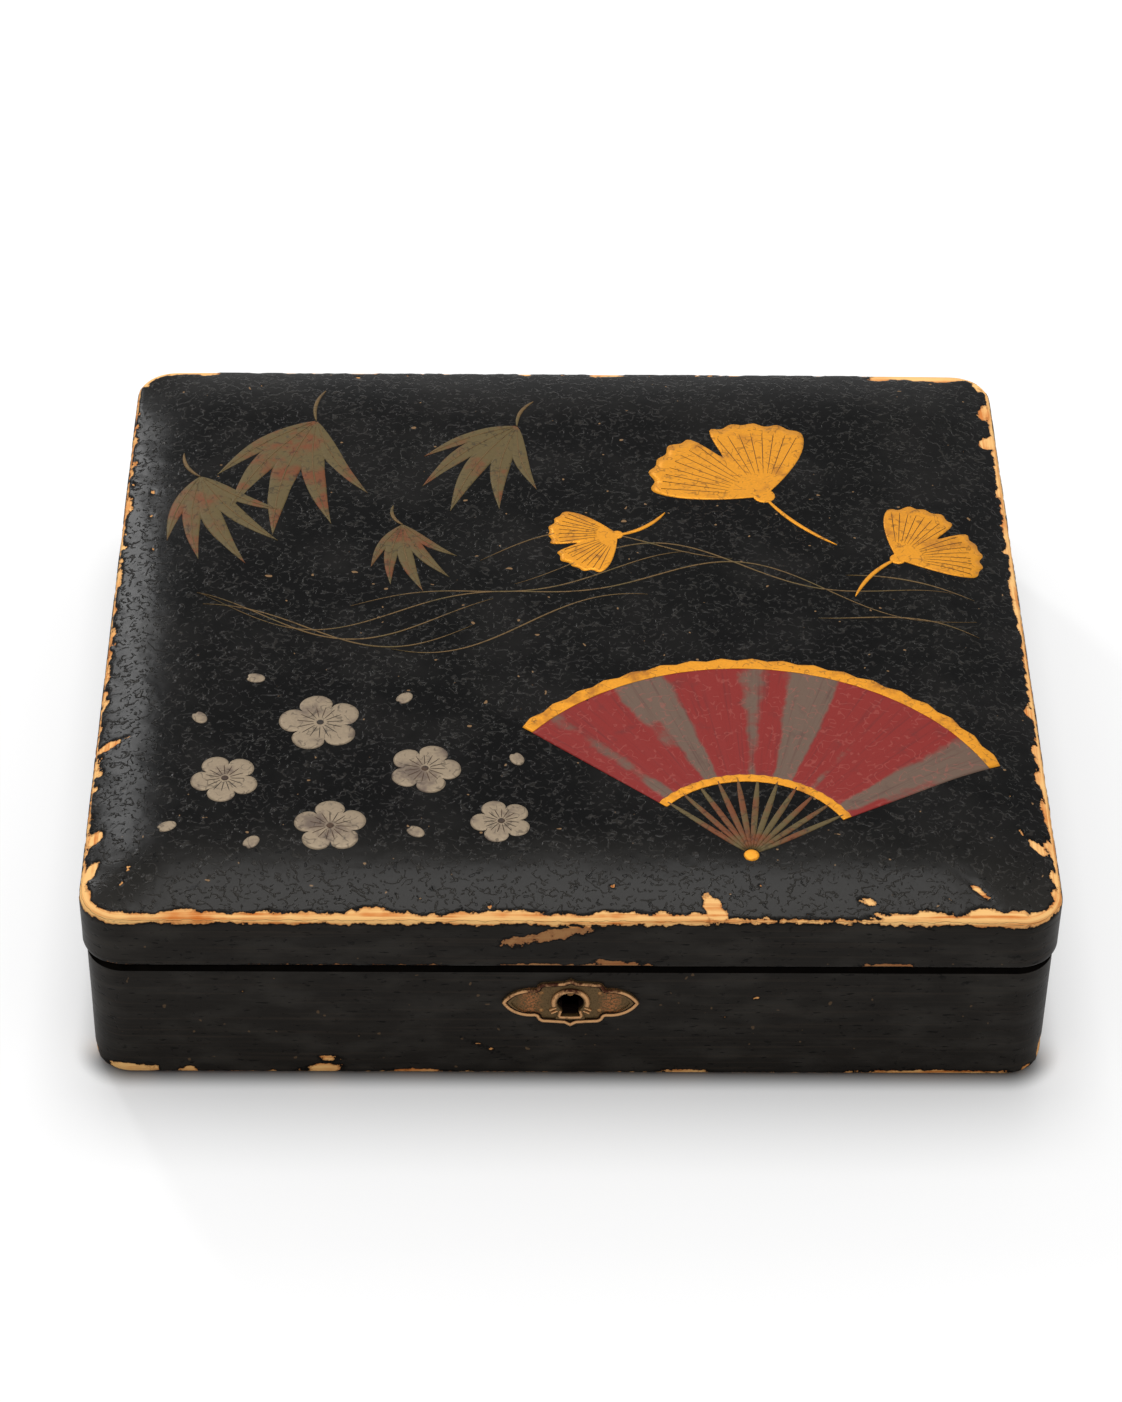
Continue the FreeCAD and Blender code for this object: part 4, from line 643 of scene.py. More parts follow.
def lid_coat(settings):
    """The lid's lacquer: rings over the lip, up the side, round the arris, and over the dome to its middle.

    A ring on the side is the outline moved out by the coat. The arris is an arc that meets side and dome. A
    ring on the dome is the outline scaled, at the dome's height plus the coat. A second, inner dome closes
    the shell."""
    bend = settings.arris_round / MM
    length, centre, out = perimeter(LID_HALF, LID_RADIUS, LID_COLUMNS)

    def outline(beyond):
        return centre + out * np.expand_dims(LID_RADIUS + beyond, -1)

    foot = LID_FOOT + hinge_bevel(outline(0)[:, 1])
    apart = 0.5
    height = dome(*outline(-bend).T)
    slope = np.arctan((dome(*outline(-bend - apart).T) - height) / apart)
    level = height - bend / np.cos(slope)
    lip = foot + LIP_ROUND
    rows = [rounding(LIP_ROUND, lip, angle) for angle in np.radians((-90, -60, -30))]
    rows += [(0, lip + (level - lip) * part, 1, 0) for part in np.linspace(0, 1, 16)]
    rows += [rounding(bend, level, (math.pi / 2 - slope) * part) for part in np.linspace(0, 1, 7)[1:]]
    beyond, heights, outward, upward = profile(rows, LID_COLUMNS)
    scales = 1 - (bend + 0.25 + 0.38 * np.arange(18) ** 1.12) / LID_HALF[1]
    shoulder = on_dome(outline(0) * scales[:, None, None])
    fine = np.concatenate((np.concatenate((outline(beyond), heights[..., None]), -1), shoulder))
    side_normals = np.concatenate((out * outward[..., None], upward[..., None]), -1)
    normals = np.concatenate((side_normals, np.broadcast_to((0.0, 0.0, 1.0), shoulder.shape)))
    across = inset_of(fine[..., 0], fine[..., 1], LID_HALF, LID_RADIUS)
    across[: len(rows)] -= np.maximum(level + bend - heights, 0)

    edge = Edge(LID_HALF, LID_RADIUS, length, across, fine, settings.wear)
    wear_lid(edge)
    wear_lip(edge, fine[..., 2] - foot)
    worn = edge.worn + 0.4 * ripple(fine, 1.3, settings.seed)
    fine = fine + normals * coat_lift(settings, worn, fine, LID_WAVE, settings.seed + 1)[..., None]
    coarse = on_dome(outline(0)[::DOME_RATIO] * np.linspace(scales[-1], 0, 42)[1:-1, None, None])
    coarse[..., 2] += coat_lift(settings, UNWORN, coarse, LID_WAVE, settings.seed + 1)
    middle = on_dome(np.zeros((1, 2)), settings.thickness / MM)
    inner_lip = np.column_stack((outline(-SHELL_SIDE), foot + SHELL_LIP))
    inner_side = np.column_stack((outline(-SHELL_SIDE), level - SHELL_SIDE))
    inner_line = outline(-SHELL_LIP)[::DOME_RATIO]
    inner = on_dome(inner_line * np.linspace(1, 0, 14)[1:-1, None, None], -SHELL_TOP)
    inner_middle = on_dome(np.zeros((1, 2)), -SHELL_TOP)

    blocks = (inner_lip, fine, coarse, middle, inner_side, inner, inner_middle)
    points = np.concatenate([block.reshape(-1, 3) for block in blocks])
    starts = np.cumsum([0] + [block[..., 0].size for block in blocks])
    dome_at, middle_at, side_at, inner_at, under_at = starts[2:7]
    small = LID_COLUMNS // DOME_RATIO
    faces = [
        grid_faces(1 + len(fine), LID_COLUMNS),
        stitch_faces(dome_at - LID_COLUMNS, dome_at, small, DOME_RATIO),
        grid_faces(len(coarse), small, dome_at),
        fan_faces(middle_at - small, small, middle_at),
        ring_band(side_at, 0, LID_COLUMNS),
        stitch_faces(side_at, inner_at, small, DOME_RATIO)[:, ::-1],
        grid_faces(len(inner), small, inner_at)[:, ::-1],
        fan_faces(under_at - small, small, under_at, upward=False),
    ]
    run = np.zeros((len(points), 2))
    run[:dome_at, 0] = np.tile(length, 1 + len(fine))
    bare = np.full(len(points), UNWORN)
    top = np.ones(len(points))
    top[:LID_COLUMNS] = 0
    for field, values in ((run[:, 1], across), (bare, worn), (top, normals[..., 2].clip(0, 1))):
        field[LID_COLUMNS:dome_at] = values.ravel()
    return points, faces, run * MM, (("Bare", bare), ("Top", top))


def case_coat(settings):
    """The case's lacquer: rings round the foot, up the wall and over the rim.

    Each is the outline moved out by the coat. The foot is a quarter round. A window behind the keyhole plate
    is left open."""
    length, centre, out = perimeter(CASE_HALF, CASE_RADIUS, CASE_COLUMNS)
    rim = CASE_TOP - hinge_bevel((centre + out * CASE_RADIUS)[:, 1])
    wall = rim - 0.3 - FOOT_ROUND
    rows = [rounding(FOOT_ROUND, FOOT_ROUND, angle) for angle in np.radians((-80, -60, -40, -20))]
    rows += [(0, FOOT_ROUND + wall * part, 1, 0) for part in np.linspace(0, 1, 39)]
    rows += [(-0.15, rim - 0.1, 0.7, 0), (-0.6, rim + 0.04, 0, 0), (-1.2, rim + 0.04, 0, 0)]
    beyond, level, outward, _ = profile(rows, CASE_COLUMNS)
    points = np.concatenate((centre + out * (CASE_RADIUS + beyond)[..., None], level[..., None]), -1)
    edge = Edge(CASE_HALF, CASE_RADIUS, length, level - 0.4 * FOOT_ROUND, points, settings.wear)
    wear_case(edge)
    worn = edge.worn + 0.25 * ripple(points, 1.1, settings.seed + 2)
    lift = coat_lift(settings, worn, points, CASE_WAVE, settings.seed + 3)
    points[..., :2] += out * (lift * outward)[..., None]
    points[..., 2] = np.maximum(points[..., 2], FLOOR_GAP)
    faces = grid_faces(len(rows), CASE_COLUMNS)
    points = points.reshape(-1, 3)
    x, y, z = points[faces].mean(1).T
    window = (np.abs(x) < WINDOW_HALF[0]) & (np.abs(z - KEY_HEIGHT) < WINDOW_HALF[1]) & (y < 0)
    run = np.stack((np.tile(length, len(rows)), level.ravel()), -1)
    return points, [faces[~window]], run * MM, (("Bare", worn.ravel()), ("Top", np.zeros(len(points))))


def bare_wood(finish, settings, run, depth, grain):
    """The wood where the coat has gone: darker with age, at the coat's rim, on the side and along a crack."""
    age = finish.step(grain * 0.75 + finish.noise(130, 3.0) * 0.4, 0.5, 0.78)
    waver = (finish.noise(260, 3.0) - 0.5) * 0.0022
    crack = finish.fade(abs(finish.axis("Y", run) + waver + 0.0003), 0.0, 0.00013)
    level = finish.axis("Z")
    side = finish.fade(level, (ARRIS - 2.6) * MM, (ARRIS - 1.7) * MM)
    side = side * finish.step(level, (CASE_TOP - 10) * MM, (CASE_TOP - 6) * MM)
    return finish.layers(
        settings.wood,
        (age, settings.old_wood),
        (finish.fade(depth, 0.1, 0.5) * 0.5, tint(150, 80, 34)),
        (side * 0.8, tint(140, 92, 60)),
        (crack * 0.85, tint(60, 26, 10)),
    )


def worn_lacquer(settings):
    """Worn black lacquer: short hairlines, dents, pale specks and brushed streaks, over bare wood."""
    finish = Finish("worn_lacquer")
    run = finish.run()
    top = finish.attribute("Top")
    wall = 1 - top
    hairs = finish.hairs(270, 0.042, 0.5, (0, 0, 0)) + finish.hairs(390, 0.045, 0.53, (3, 1, 2))
    dents = finish.step(finish.noise(520, 1.0), 0.68, 0.74)
    specks = finish.noise(560, 0.0, at=finish.scaled(finish.place, (1, 1, 1), (5, 5, 5)))
    cloud = finish.noise(34, 4.0, 0.6)
    streaks = finish.stretched(run, (14, 900, 1), 4.0, 0.65)
    blotch = finish.stretched(finish.place, (60, 60, 140), 3.0)
    marks = finish.step(finish.stretched(run, (260, 1300, 1), 1.0), 0.66, 0.72)
    # Lighter towards the front of the top: rubbed by hands, and partly a painted highlight on the front
    # shoulder
    rubbed = finish.fade(finish.axis("Y"), (RUB_SHEEN_FRONT - LID_HALF[1]) * MM, (RUB_SHEEN_BACK - LID_HALF[1]) * MM)

    crumbs = (finish.noise(1500, 3.0, 0.6) - 0.5) * 1.1 + (finish.noise(480, 2.0) - 0.5) * 1.6
    depth = finish.attribute("Bare") + crumbs
    bare = finish.step(depth, -0.05, 0.06)
    grain = finish.stretched(run, (22, 900, 1), 4.0, 0.65, 0.4)
    dark = finish.layers(
        settings.black,
        (finish.step(cloud, 0.4, 0.68), tint(24, 23, 22)),
        # Painted highlight, partly rubbed lacquer: the front of the top is lighter
        (rubbed * top * 0.75, tint(44, 42, 39)),
        # Painted light: the walls get a lighter base than the top, for the floor's light they reflect
        (wall, tint(35, 32, 29)),
        (hairs * top * 0.34, tint(64, 61, 57)),
        (dents * 0.6, tint(6, 6, 6)),
        (finish.step(blotch, 0.42, 0.7) * wall * 0.5, tint(58, 55, 51)),
        (finish.step(streaks, 0.48, 0.72) * wall * 0.4, tint(60, 52, 45)),
        (marks * wall * 0.8, tint(10, 9, 8)),
        (finish.step(specks, 0.855, 0.875) * (0.25 + top * 0.5), tint(150, 118, 84)),
        # Painted shade: the lacquer goes near black in a thin line just outside the bare wood
        (finish.step(depth, -0.75, -0.1) * 0.8, tint(3, 3, 3)),
    )
    rough = 0.14 + cloud * 0.14 + streaks * wall * 0.3
    relief = (hairs * top) * 0.7 - dents * 0.8 + (streaks * 0.5 - marks * 0.7) * wall
    relief = relief + finish.noise(130, 2.0) * 1.3
    return finish.surface(
        base_color=finish.mix(bare, dark, bare_wood(finish, settings, run, depth, grain)),
        roughness=rough + bare * (0.75 - rough),
        specular_ior_level=0.08,
        normal=finish.bump(relief + bare * (grain * 1.2 - relief), 0.00014, 0.9),
    )


def seam_shade():
    """Painted shade: matt black in the seam between lid and case, for the shadow under the lid's overhang."""
    finish = Finish("seam_shade")
    cloud = finish.noise(300, 3.0)
    return finish.surface(
        base_color=finish.mix(cloud, tint(4, 4, 4), tint(16, 13, 11)),
        roughness=0.8 + cloud * 0.15,
        specular_ior_level=0.0,
        normal=finish.bump(cloud, 0.00005, 0.5),
    )


def inner_lacquer(settings):
    """The lacquer inside the box: near black, with sparse gold flecks."""
    finish = Finish("inner_lacquer")
    cells = finish.cells(900.0)
    flecks = finish.fade(cells, 0.12, 0.2) * finish.step(finish.noise(400, 1.0), 0.5, 0.56)
    cloud = finish.noise(40, 3.0)
    base = finish.mix(finish.step(cloud, 0.3, 0.7), settings.inner, tint(36, 24, 20))
    return finish.surface(
        base_color=finish.mix(flecks * 0.8, base, tint(176, 128, 62)),
        metallic=flecks * 0.7,
        roughness=0.32 + cloud * 0.12,
        specular_ior_level=0.4,
        normal=finish.bump(finish.noise(160, 2.0), 0.00006, 0.5),
    )


def metal(name, bright, dull, scale, amount, rough, black_below=None):
    """Aged metal: dull on the noise's crests, bright between, with fine pits, and black below a height."""
    finish = Finish(name)
    cloud = finish.noise(scale, 4.0, 0.65)
    pits = finish.step(finish.noise(2600, 1.0), 0.62, 0.72)
    worn = finish.step(cloud, amount - 0.15, amount + 0.2)
    base = finish.mix(pits * 0.5, finish.mix(worn, bright, dull), tint(38, 26, 16))
    if black_below:
        height = finish.axis("Z")
        base = finish.mix(finish.fade(height, black_below - 0.0004, black_below), base, tint(8, 6, 5))
    return finish.surface(
        base_color=base,
        metallic=0.85 - worn * 0.25,
        roughness=rough + worn * 0.22,
        normal=finish.bump(pits * -1.0 + cloud * 0.6, 0.00005, 0.7),
    )


def stippled_brass(settings):
    """The escutcheon's ground: olive-brown and punched all over, with coppery patches in its wings."""
    finish = Finish("stippled_brass")
    dots = finish.cells(2100.0)
    punched = finish.fade(dots, 0.1, 0.45)
    across = finish.axis("X")
    wings = finish.fade(abs(abs(across) - 0.0105), 0.0, 0.0042)
    copper = wings * finish.step(finish.noise(2400, 2.0), 0.42, 0.6)
    ground = finish.mix(punched * 0.5, settings.old_brass, tint(58, 44, 26))
    return finish.surface(
        base_color=finish.mix(copper * 0.8, ground, tint(196, 124, 74)),
        metallic=0.6,
        roughness=0.5 + punched * 0.15,
        normal=finish.bump(punched * -1.0, 0.0001, 0.8),
    )


def rolled_brass():
    """The escutcheon's border and collar: light and coppery, dark red-brown where it hasn't been rubbed."""
    finish = Finish("rolled_brass")
    cloud = finish.noise(420, 4.0, 0.65)
    worn = finish.step(cloud + finish.attribute("Upper") * 0.2, 0.52, 0.76)
    return finish.surface(
        base_color=finish.mix(worn, tint(226, 172, 118), tint(84, 44, 26)),
        metallic=0.7,
        roughness=0.38 + worn * 0.3,
        normal=finish.bump(cloud, 0.00006, 0.6),
    )


def shade_dark_brass():
    """Nearly black brass, painted shade: the dark line of the keyhole plate's groove, and the lock cap inside
    the wall.
    """
    finish = Finish("shade_dark_brass")
    cloud = finish.noise(600, 3.0)
    return finish.surface(
        base_color=finish.mix(cloud, tint(12, 8, 6), tint(44, 28, 18)),
        metallic=0.4,
        roughness=0.55 + cloud * 0.2,
        specular_ior_level=0.1,
    )


def slate(settings):
    """Fine dark stone with faint bands and pale grains."""
    finish = Finish("slate")
    bands = finish.stretched(finish.place, (20, 14, 160), 5.0, 0.6, 0.8)
    grains = finish.step(finish.noise(1500, 1.0), 0.7, 0.76)
    base = finish.mix(finish.step(bands, 0.3, 0.7), settings.slate, tint(34, 35, 40))
    return finish.surface(
        base_color=finish.mix(grains * 0.35, base, tint(110, 110, 112)),
        roughness=0.5 + bands * 0.2,
        normal=finish.bump(bands + grains * 0.4, 0.00008, 0.5),
    )


def ink_cake(settings):
    """Pressed soot: matt black, rubbed smoother on its crests."""
    finish = Finish("ink_cake")
    cloud = finish.noise(240, 4.0, 0.6)
    return finish.surface(
        base_color=finish.mix(cloud, settings.ink, tint(40, 40, 44)),
        roughness=0.45 + cloud * 0.3,
        normal=finish.bump(cloud, 0.00015, 0.6),
    )


def bamboo(settings):
    """Bamboo: pale and silky, with fine fibres along its length and browner patches."""
    finish = Finish("bamboo")
    fibres = finish.stretched(finish.place, (1500, 12, 1500), 3.0, 0.6)
    patches = finish.stretched(finish.place, (60, 18, 60), 3.0)
    base = finish.mix(finish.step(patches, 0.4, 0.7), settings.bamboo, tint(150, 100, 52))
    return finish.surface(
        base_color=finish.mix(fibres * 0.4, base, tint(120, 80, 40)),
        roughness=0.34 + fibres * 0.16,
        normal=finish.bump(fibres, 0.00004, 0.5),
    )


def brush_hair(settings):
    """Brush hair: pale, stained black with dried ink towards the point."""
    finish = Finish("brush_hair")
    along = finish.axis("Y", finish.run())
    strands = finish.stretched(finish.run(), (2600, 30, 1), 2.0, 0.6)
    stained = finish.step(along + strands * 0.25, 0.55, 0.85)
    base = finish.mix(strands * 0.6, settings.hair, tint(150, 128, 98))
    return finish.surface(
        base_color=finish.mix(stained, base, tint(26, 24, 24)),
        roughness=0.55 + strands * 0.2,
        normal=finish.bump(strands, 0.0001, 0.8),
    )


def on_lid(flat, lift):
    """Points laid on the lid's lacquer: the dome's height plus the coat and a lift."""
    return on_dome(flat, COAT + lift)


def placed(flat, angle, centre):
    """Flat points turned counter-clockwise about the origin, and then moved to a centre."""
    c, s = math.cos(angle), math.sin(angle)
    return flat @ np.array(((c, s), (-s, c))) + np.asarray(centre, float)


def join_shapes(shapes):
    """Several shapes as one: their points in a row, with each shape's faces counted on."""
    first = np.cumsum([0] + [len(points) for points, _, _ in shapes])
    points = np.concatenate([points for points, _, _ in shapes])
    run = np.concatenate([run for _, _, run in shapes])
    faces = [np.asarray(group) + start for start, (_, groups, _) in zip(first, shapes) for group in groups]
    return points, faces, run


def inlay(reach, centre, turn, size, thickness, columns=240, rows=12):
    """A motif laid on the lid, as a polar patch: reach gives the outline's distance from the middle by angle.

    A point at share r of the outline stands out by the thickness times (1 - r^8). The rim goes down into the
    lacquer, where an underside closes it. Its run is the angle's share of a full turn, and r."""
    angle = np.linspace(0, 2 * math.pi, columns, endpoint=False)
    ray = np.stack((np.cos(angle), np.sin(angle)), -1) * (reach(angle) * size)[:, None]
    shares = np.append(np.linspace(0, 1, rows + 1)[1:], 1.0)
    lift = np.append(thickness * (1 - shares[:-1] ** 8) + 0.01, SUNK)
    rings = on_lid(placed(ray * shares[:, None, None], turn, centre), lift[:, None]).reshape(-1, 3)
    poles = on_lid(np.tile(np.asarray(centre, float), (2, 1)), np.array((lift[0], SUNK)))
    faces = [
        fan_faces(0, columns, len(rings)),
        grid_faces(len(shares), columns)[:, ::-1],
        fan_faces(len(rings) - columns, columns, len(rings) + 1, upward=False),
    ]
    run = np.stack((np.tile(angle / (2 * math.pi), len(shares)), np.repeat(shares, columns)), -1)
    return np.concatenate((rings, poles)), faces, np.concatenate((run, ((0, 0), (0, 1))))


def swept(sections, closed=False):
    """The faces of closed sections in a row. The row is capped at both ends, or closed into a ring."""
    count, around = sections.shape[:2]
    faces = [grid_faces(count, around)]
    if closed:
        faces.append(ring_band((count - 1) * around, 0, around))
    else:
        faces += [np.arange(around)[None, ::-1], ((count - 1) * around + np.arange(around))[None]]
    turns, shares = np.arange(around) / around, np.linspace(0, 1, count)
    run = np.stack((np.tile(turns, count), np.repeat(shares, around)), -1)
    return sections.reshape(-1, 3), faces, run


def left_of(path, closed=False):
    """The unit direction to the left of a path, at each of its points."""
    if closed:
        ahead = np.roll(path, -1, 0) - np.roll(path, 1, 0)
    else:
        ahead = np.gradient(path, axis=0)
    ahead = ahead / np.linalg.norm(ahead, axis=1)[:, None]
    return np.stack((-ahead[:, 1], ahead[:, 0]), -1)


ROUND_ACROSS = np.array((0.5, 0.4, 0.2, 0, -0.2, -0.4, -0.5, -0.5, 0.5))
ROUND_HEIGHT = np.array((0, 0.62, 0.93, 1, 0.93, 0.62, 0, -1, -1))


def ribbon(path, width, thickness):
    """A raised ribbon along a path on the lid: a flat half round, as wide as the width at each point."""
    across = ROUND_ACROSS[None, :, None] * np.reshape(width, (-1, 1, 1))
    flat = path[:, None] + left_of(path)[:, None] * across
    return swept(on_lid(flat, np.where(ROUND_HEIGHT < 0, SUNK, ROUND_HEIGHT * thickness)))


def line_on_lid(path, width, thickness):
    """A raised line that narrows to both ends, by the root of 4 s (1 - s)."""
    place = np.linspace(0, 1, len(path))
    return ribbon(path, width * np.clip(4 * place * (1 - place), 0.05, 1) ** 0.5, thickness)


def wrapped(angle):
    """An angle's distance from the top of a motif, from 0 to pi."""
    return np.abs((angle - math.pi / 2 + math.pi) % (2 * math.pi) - math.pi)


def ginkgo_leaf(angle):
    """A fan of full reach within 54 degrees of the top, with a notch and a wavy rim, and narrow below."""
    apart = wrapped(angle)
    fan = 1 - 0.9 * ease(apart, 0.95, 1.3)
    notch = 1 - 0.38 * np.exp(-((apart / 0.07) ** 2)) - 0.07 * ease(apart, 0.5, 1.0)
    return fan * notch * (1 + 0.018 * np.sin(31 * angle) + 0.014 * np.sin(17 * angle + 1))


def plum_blossom(angle):
    """Five round petals: the reach is 0.6 plus 0.4 times the root of |cos 2.5 a|."""
    return 0.6 + 0.4 * np.abs(np.cos(2.5 * (angle - math.pi / 2))) ** 0.5


def petal(angle):
    """A fallen petal: an ellipse 0.7 as wide as it is long, dented at its top."""
    oval = 0.7 / np.sqrt(np.cos(angle) ** 2 + (0.7 * np.sin(angle)) ** 2)
    return oval * (1 - 0.25 * np.exp(-((wrapped(angle) / 0.25) ** 2)))


def disc(angle):
    """A plain circle."""
    return np.ones_like(angle)


def curve_through(points, count):
    """A smooth curve near points: each coordinate is a polynomial in the point's number, up to degree 4."""
    points = np.asarray(points, float)
    knots = np.arange(len(points))
    at = np.linspace(0, len(points) - 1, count)
    degree = min(len(points) - 1, 4)
    return np.stack([np.polyval(np.polyfit(knots, points[:, axis], degree), at) for axis in (0, 1)], -1)


def rays(centre, turn, angles, start, end, width, thickness):
    """Thin lines from a motif's middle towards its rim, as a list of shapes."""
    share = np.linspace(start, end, 12)[:, None]
    shapes = []
    for angle, reach in angles:
        ray = np.array((math.cos(angle), math.sin(angle))) * reach * share
        shapes.append(line_on_lid(placed(ray, turn, centre), width, thickness))
    return shapes


def folding_fan(pivot, turn, half_angle, folds, inner, outer, thickness):
    """The leaf of a folding fan: an annular sector whose folds stand out as a triangle wave of the angle.

    Its rim is scalloped by the same wave. The underside lies in the lacquer."""
    part = np.linspace(0, 1, folds * 8 + 1)
    wave = np.abs((part * folds) % 1 * 2 - 1)
    angle = turn + half_angle * (1 - 2 * part)
    shares = np.linspace(0, 1, 16)
    radius = inner + (outer * (1 - 0.012 * wave[:, None]) - inner) * shares
    ray = np.stack((-np.sin(angle), np.cos(angle)), -1)
    flat = ray[:, None] * radius[..., None] + np.asarray(pivot, float)
    top = on_lid(flat, thickness * (0.45 + 0.55 * wave[:, None]) * (1 - shares**12))
    under = on_lid(flat[:, (-1, 0)], SUNK)
    points, faces, run = swept(np.concatenate((top, under), 1))
    run[:, 0] = np.repeat(part, len(shares) + 2)
    run[:, 1] = np.tile(np.concatenate((shares, (1, 0))), len(part))
    return points, faces, run


def leaf_line(place, start, turn, length):
    """The middle line of a slender leaf at some shares of its length: bent sideways by a half sine."""
    path = np.stack((0.06 * length * np.sin(math.pi * place), length * place), -1)
    return placed(path, turn, start)


def bamboo_leaf(start, turn, length, thickness):
    """A slender leaf: a ribbon along its middle line, as wide as 0.15 of its length times sin(pi s^0.75)."""
    place = np.linspace(0.01, 1, 48)
    width = 0.15 * length * np.sin(math.pi * np.clip(place, 0, 0.995) ** 0.75)
    return ribbon(leaf_line(place, start, turn, length), width, thickness)


def paint_noises(finish, scale):
    """What every painted motif shares: patches of a scale, a fine grain and hairlines."""
    hairs = finish.hairs(330, 0.04, 0.46, (1, 2, 0))
    return finish.noise(scale, 4.0, 0.6), finish.noise(1300, 2.0, 0.6), hairs


def inlay_finish(name, base, second, amount, metallic, rough):
    """Coloured or metal-dusted lacquer: patches of a second colour, hairlines, rubbed spots and grain."""
    finish = Finish(name)
    cloud, fine, hairs = paint_noises(finish, 110)
    rubbed = finish.step(finish.noise(260, 4.0, 0.7), 0.58, 0.7)
    return finish.surface(
        base_color=finish.layers(
            base,
            (finish.step(cloud, amount - 0.08, amount + 0.12), second),
            (fine * 0.35, tint(40, 34, 30)),
            (rubbed * 0.45, tint(38, 34, 32)),
            (hairs * 0.45, tint(24, 20, 20)),
        ),
        metallic=metallic - rubbed * metallic * 0.5,
        roughness=rough + fine * 0.16 + hairs * 0.1,
        specular_ior_level=0.25,
        normal=finish.bump(fine * 0.4 - hairs * 0.5 + cloud * 0.4, 0.0001, 0.7),
    )


def fan_finish(settings):
    """The fan's leaf: unequal panels of red and grey-brown, with fine radiating brush lines."""
    finish = Finish("fan_lacquer")
    cloud, fine, hairs = paint_noises(finish, 150)
    panels = finish.stretched(finish.run(), (9, 0.35, 1), 0.0, shift=(3, 0, 0))
    lines = finish.stretched(finish.run(), (130, 2, 1))
    return finish.surface(
        base_color=finish.layers(
            settings.red,
            (finish.step(panels + (cloud - 0.5) * 0.16, 0.54, 0.6), settings.grey),
            (finish.step(lines, 0.5, 0.75) * 0.35, tint(74, 22, 24)),
            (finish.step(cloud, 0.55, 0.75) * 0.35, tint(66, 34, 32)),
            (hairs * 0.35, tint(170, 90, 80)),
        ),
        roughness=0.42 + fine * 0.18 + hairs * 0.1,
        specular_ior_level=0.25,
        normal=finish.bump(fine * 0.3 + hairs * 0.6 + lines * 0.3, 0.0001, 0.7),
    )


def lay(name, shapes, material):
    """Puts the shapes of a motif on the lid, as one piece."""
    points, faces, run = join_shapes(shapes)
    make_piece(name, points, faces, material, "lid", "black_lacquer", run)


class WRITINGBOX_OT_fan(bpy.types.Operator):
    """Lays the red folding fan with its gold rim and ribs on the lid"""

    bl_idname = "writingbox.fan"
    bl_label = "Folding Fan"

    def execute(self, context):
        settings = context.scene.writingbox_design
        thickness = settings.thickness / MM
        pivot, turn, half_angle, folds = (46, -96), -0.1, 0.98, 18
        inner, outer = 28, 76
        spread = (pivot, turn, half_angle, folds)
        gold = inlay_finish("fan_gold", settings.gold, tint(190, 118, 30), 0.58, 0.35, 0.36)
        brown = inlay_finish("fan_ribs", settings.olive, settings.russet, 0.5, 0.1, 0.45)
        leaf = folding_fan(*spread, inner, outer, thickness)
        rim = folding_fan(*spread, outer - 3.4, outer + 0.9, 1.5 * thickness)
        sash = folding_fan(*spread, inner - 0.5, inner + 2.6, 1.5 * thickness)
        ribs = [(math.pi / 2 + turn + half_angle * side, inner) for side in np.linspace(-0.94, 0.94, 11)]
        lay("fan_leaf", [leaf], fan_finish(settings))
        lay("fan_rim", [rim, sash], gold)
        lay("fan_ribs", rays(pivot, 0, ribs, 0.08, 1.02, 1.7, 1.2 * thickness), brown)
        lay("fan_knob", [inlay(disc, pivot, 0, 2.0, 2 * thickness, 48, 6)], gold)
        return {"FINISHED"}


class WRITINGBOX_OT_bamboo(bpy.types.Operator):
    """Lays the olive and russet bamboo sprigs on the lid"""

    bl_idname = "writingbox.bamboo"
    bl_label = "Bamboo Sprigs"

    def execute(self, context):
        settings = context.scene.writingbox_design
        thickness = settings.thickness / MM
        leaf = inlay_finish("bamboo_leaves", settings.olive, settings.russet, 0.56, 0.08, 0.44)
        vein = inlay_finish("bamboo_veins", settings.line, settings.olive, 0.55, 0.2, 0.42)
        ribbed = np.linspace(0.04, 0.94, 30)
        sprigs = (((-72, 86), 2.95, 54), ((-104, 60), 3.5, 42), ((-14, 84), 2.7, 44), ((-46, 38), 3.35, 30))
        for number, (start, turn, length) in enumerate(sprigs, start=1):
            leaves, ribs = [], []
            for side in (-1.7, -0.85, 0.0, 0.85, 1.7):
                way = (start, turn + 0.37 * side, length * (1 - 0.14 * abs(side) ** 1.5))
                leaves.append(bamboo_leaf(*way, thickness))
                ribs.append(line_on_lid(leaf_line(ribbed, *way), 0.45, 1.9 * thickness))
            stalk = curve_through(((0, 0), (2, -0.15 * length), (1, -0.3 * length)), 24)
            ribs.append(line_on_lid(placed(stalk, turn, start), 1.1, 1.5 * thickness))
            lay(f"bamboo_leaves_{number}", leaves, leaf)
            lay(f"bamboo_veins_{number}", ribs, vein)
        return {"FINISHED"}


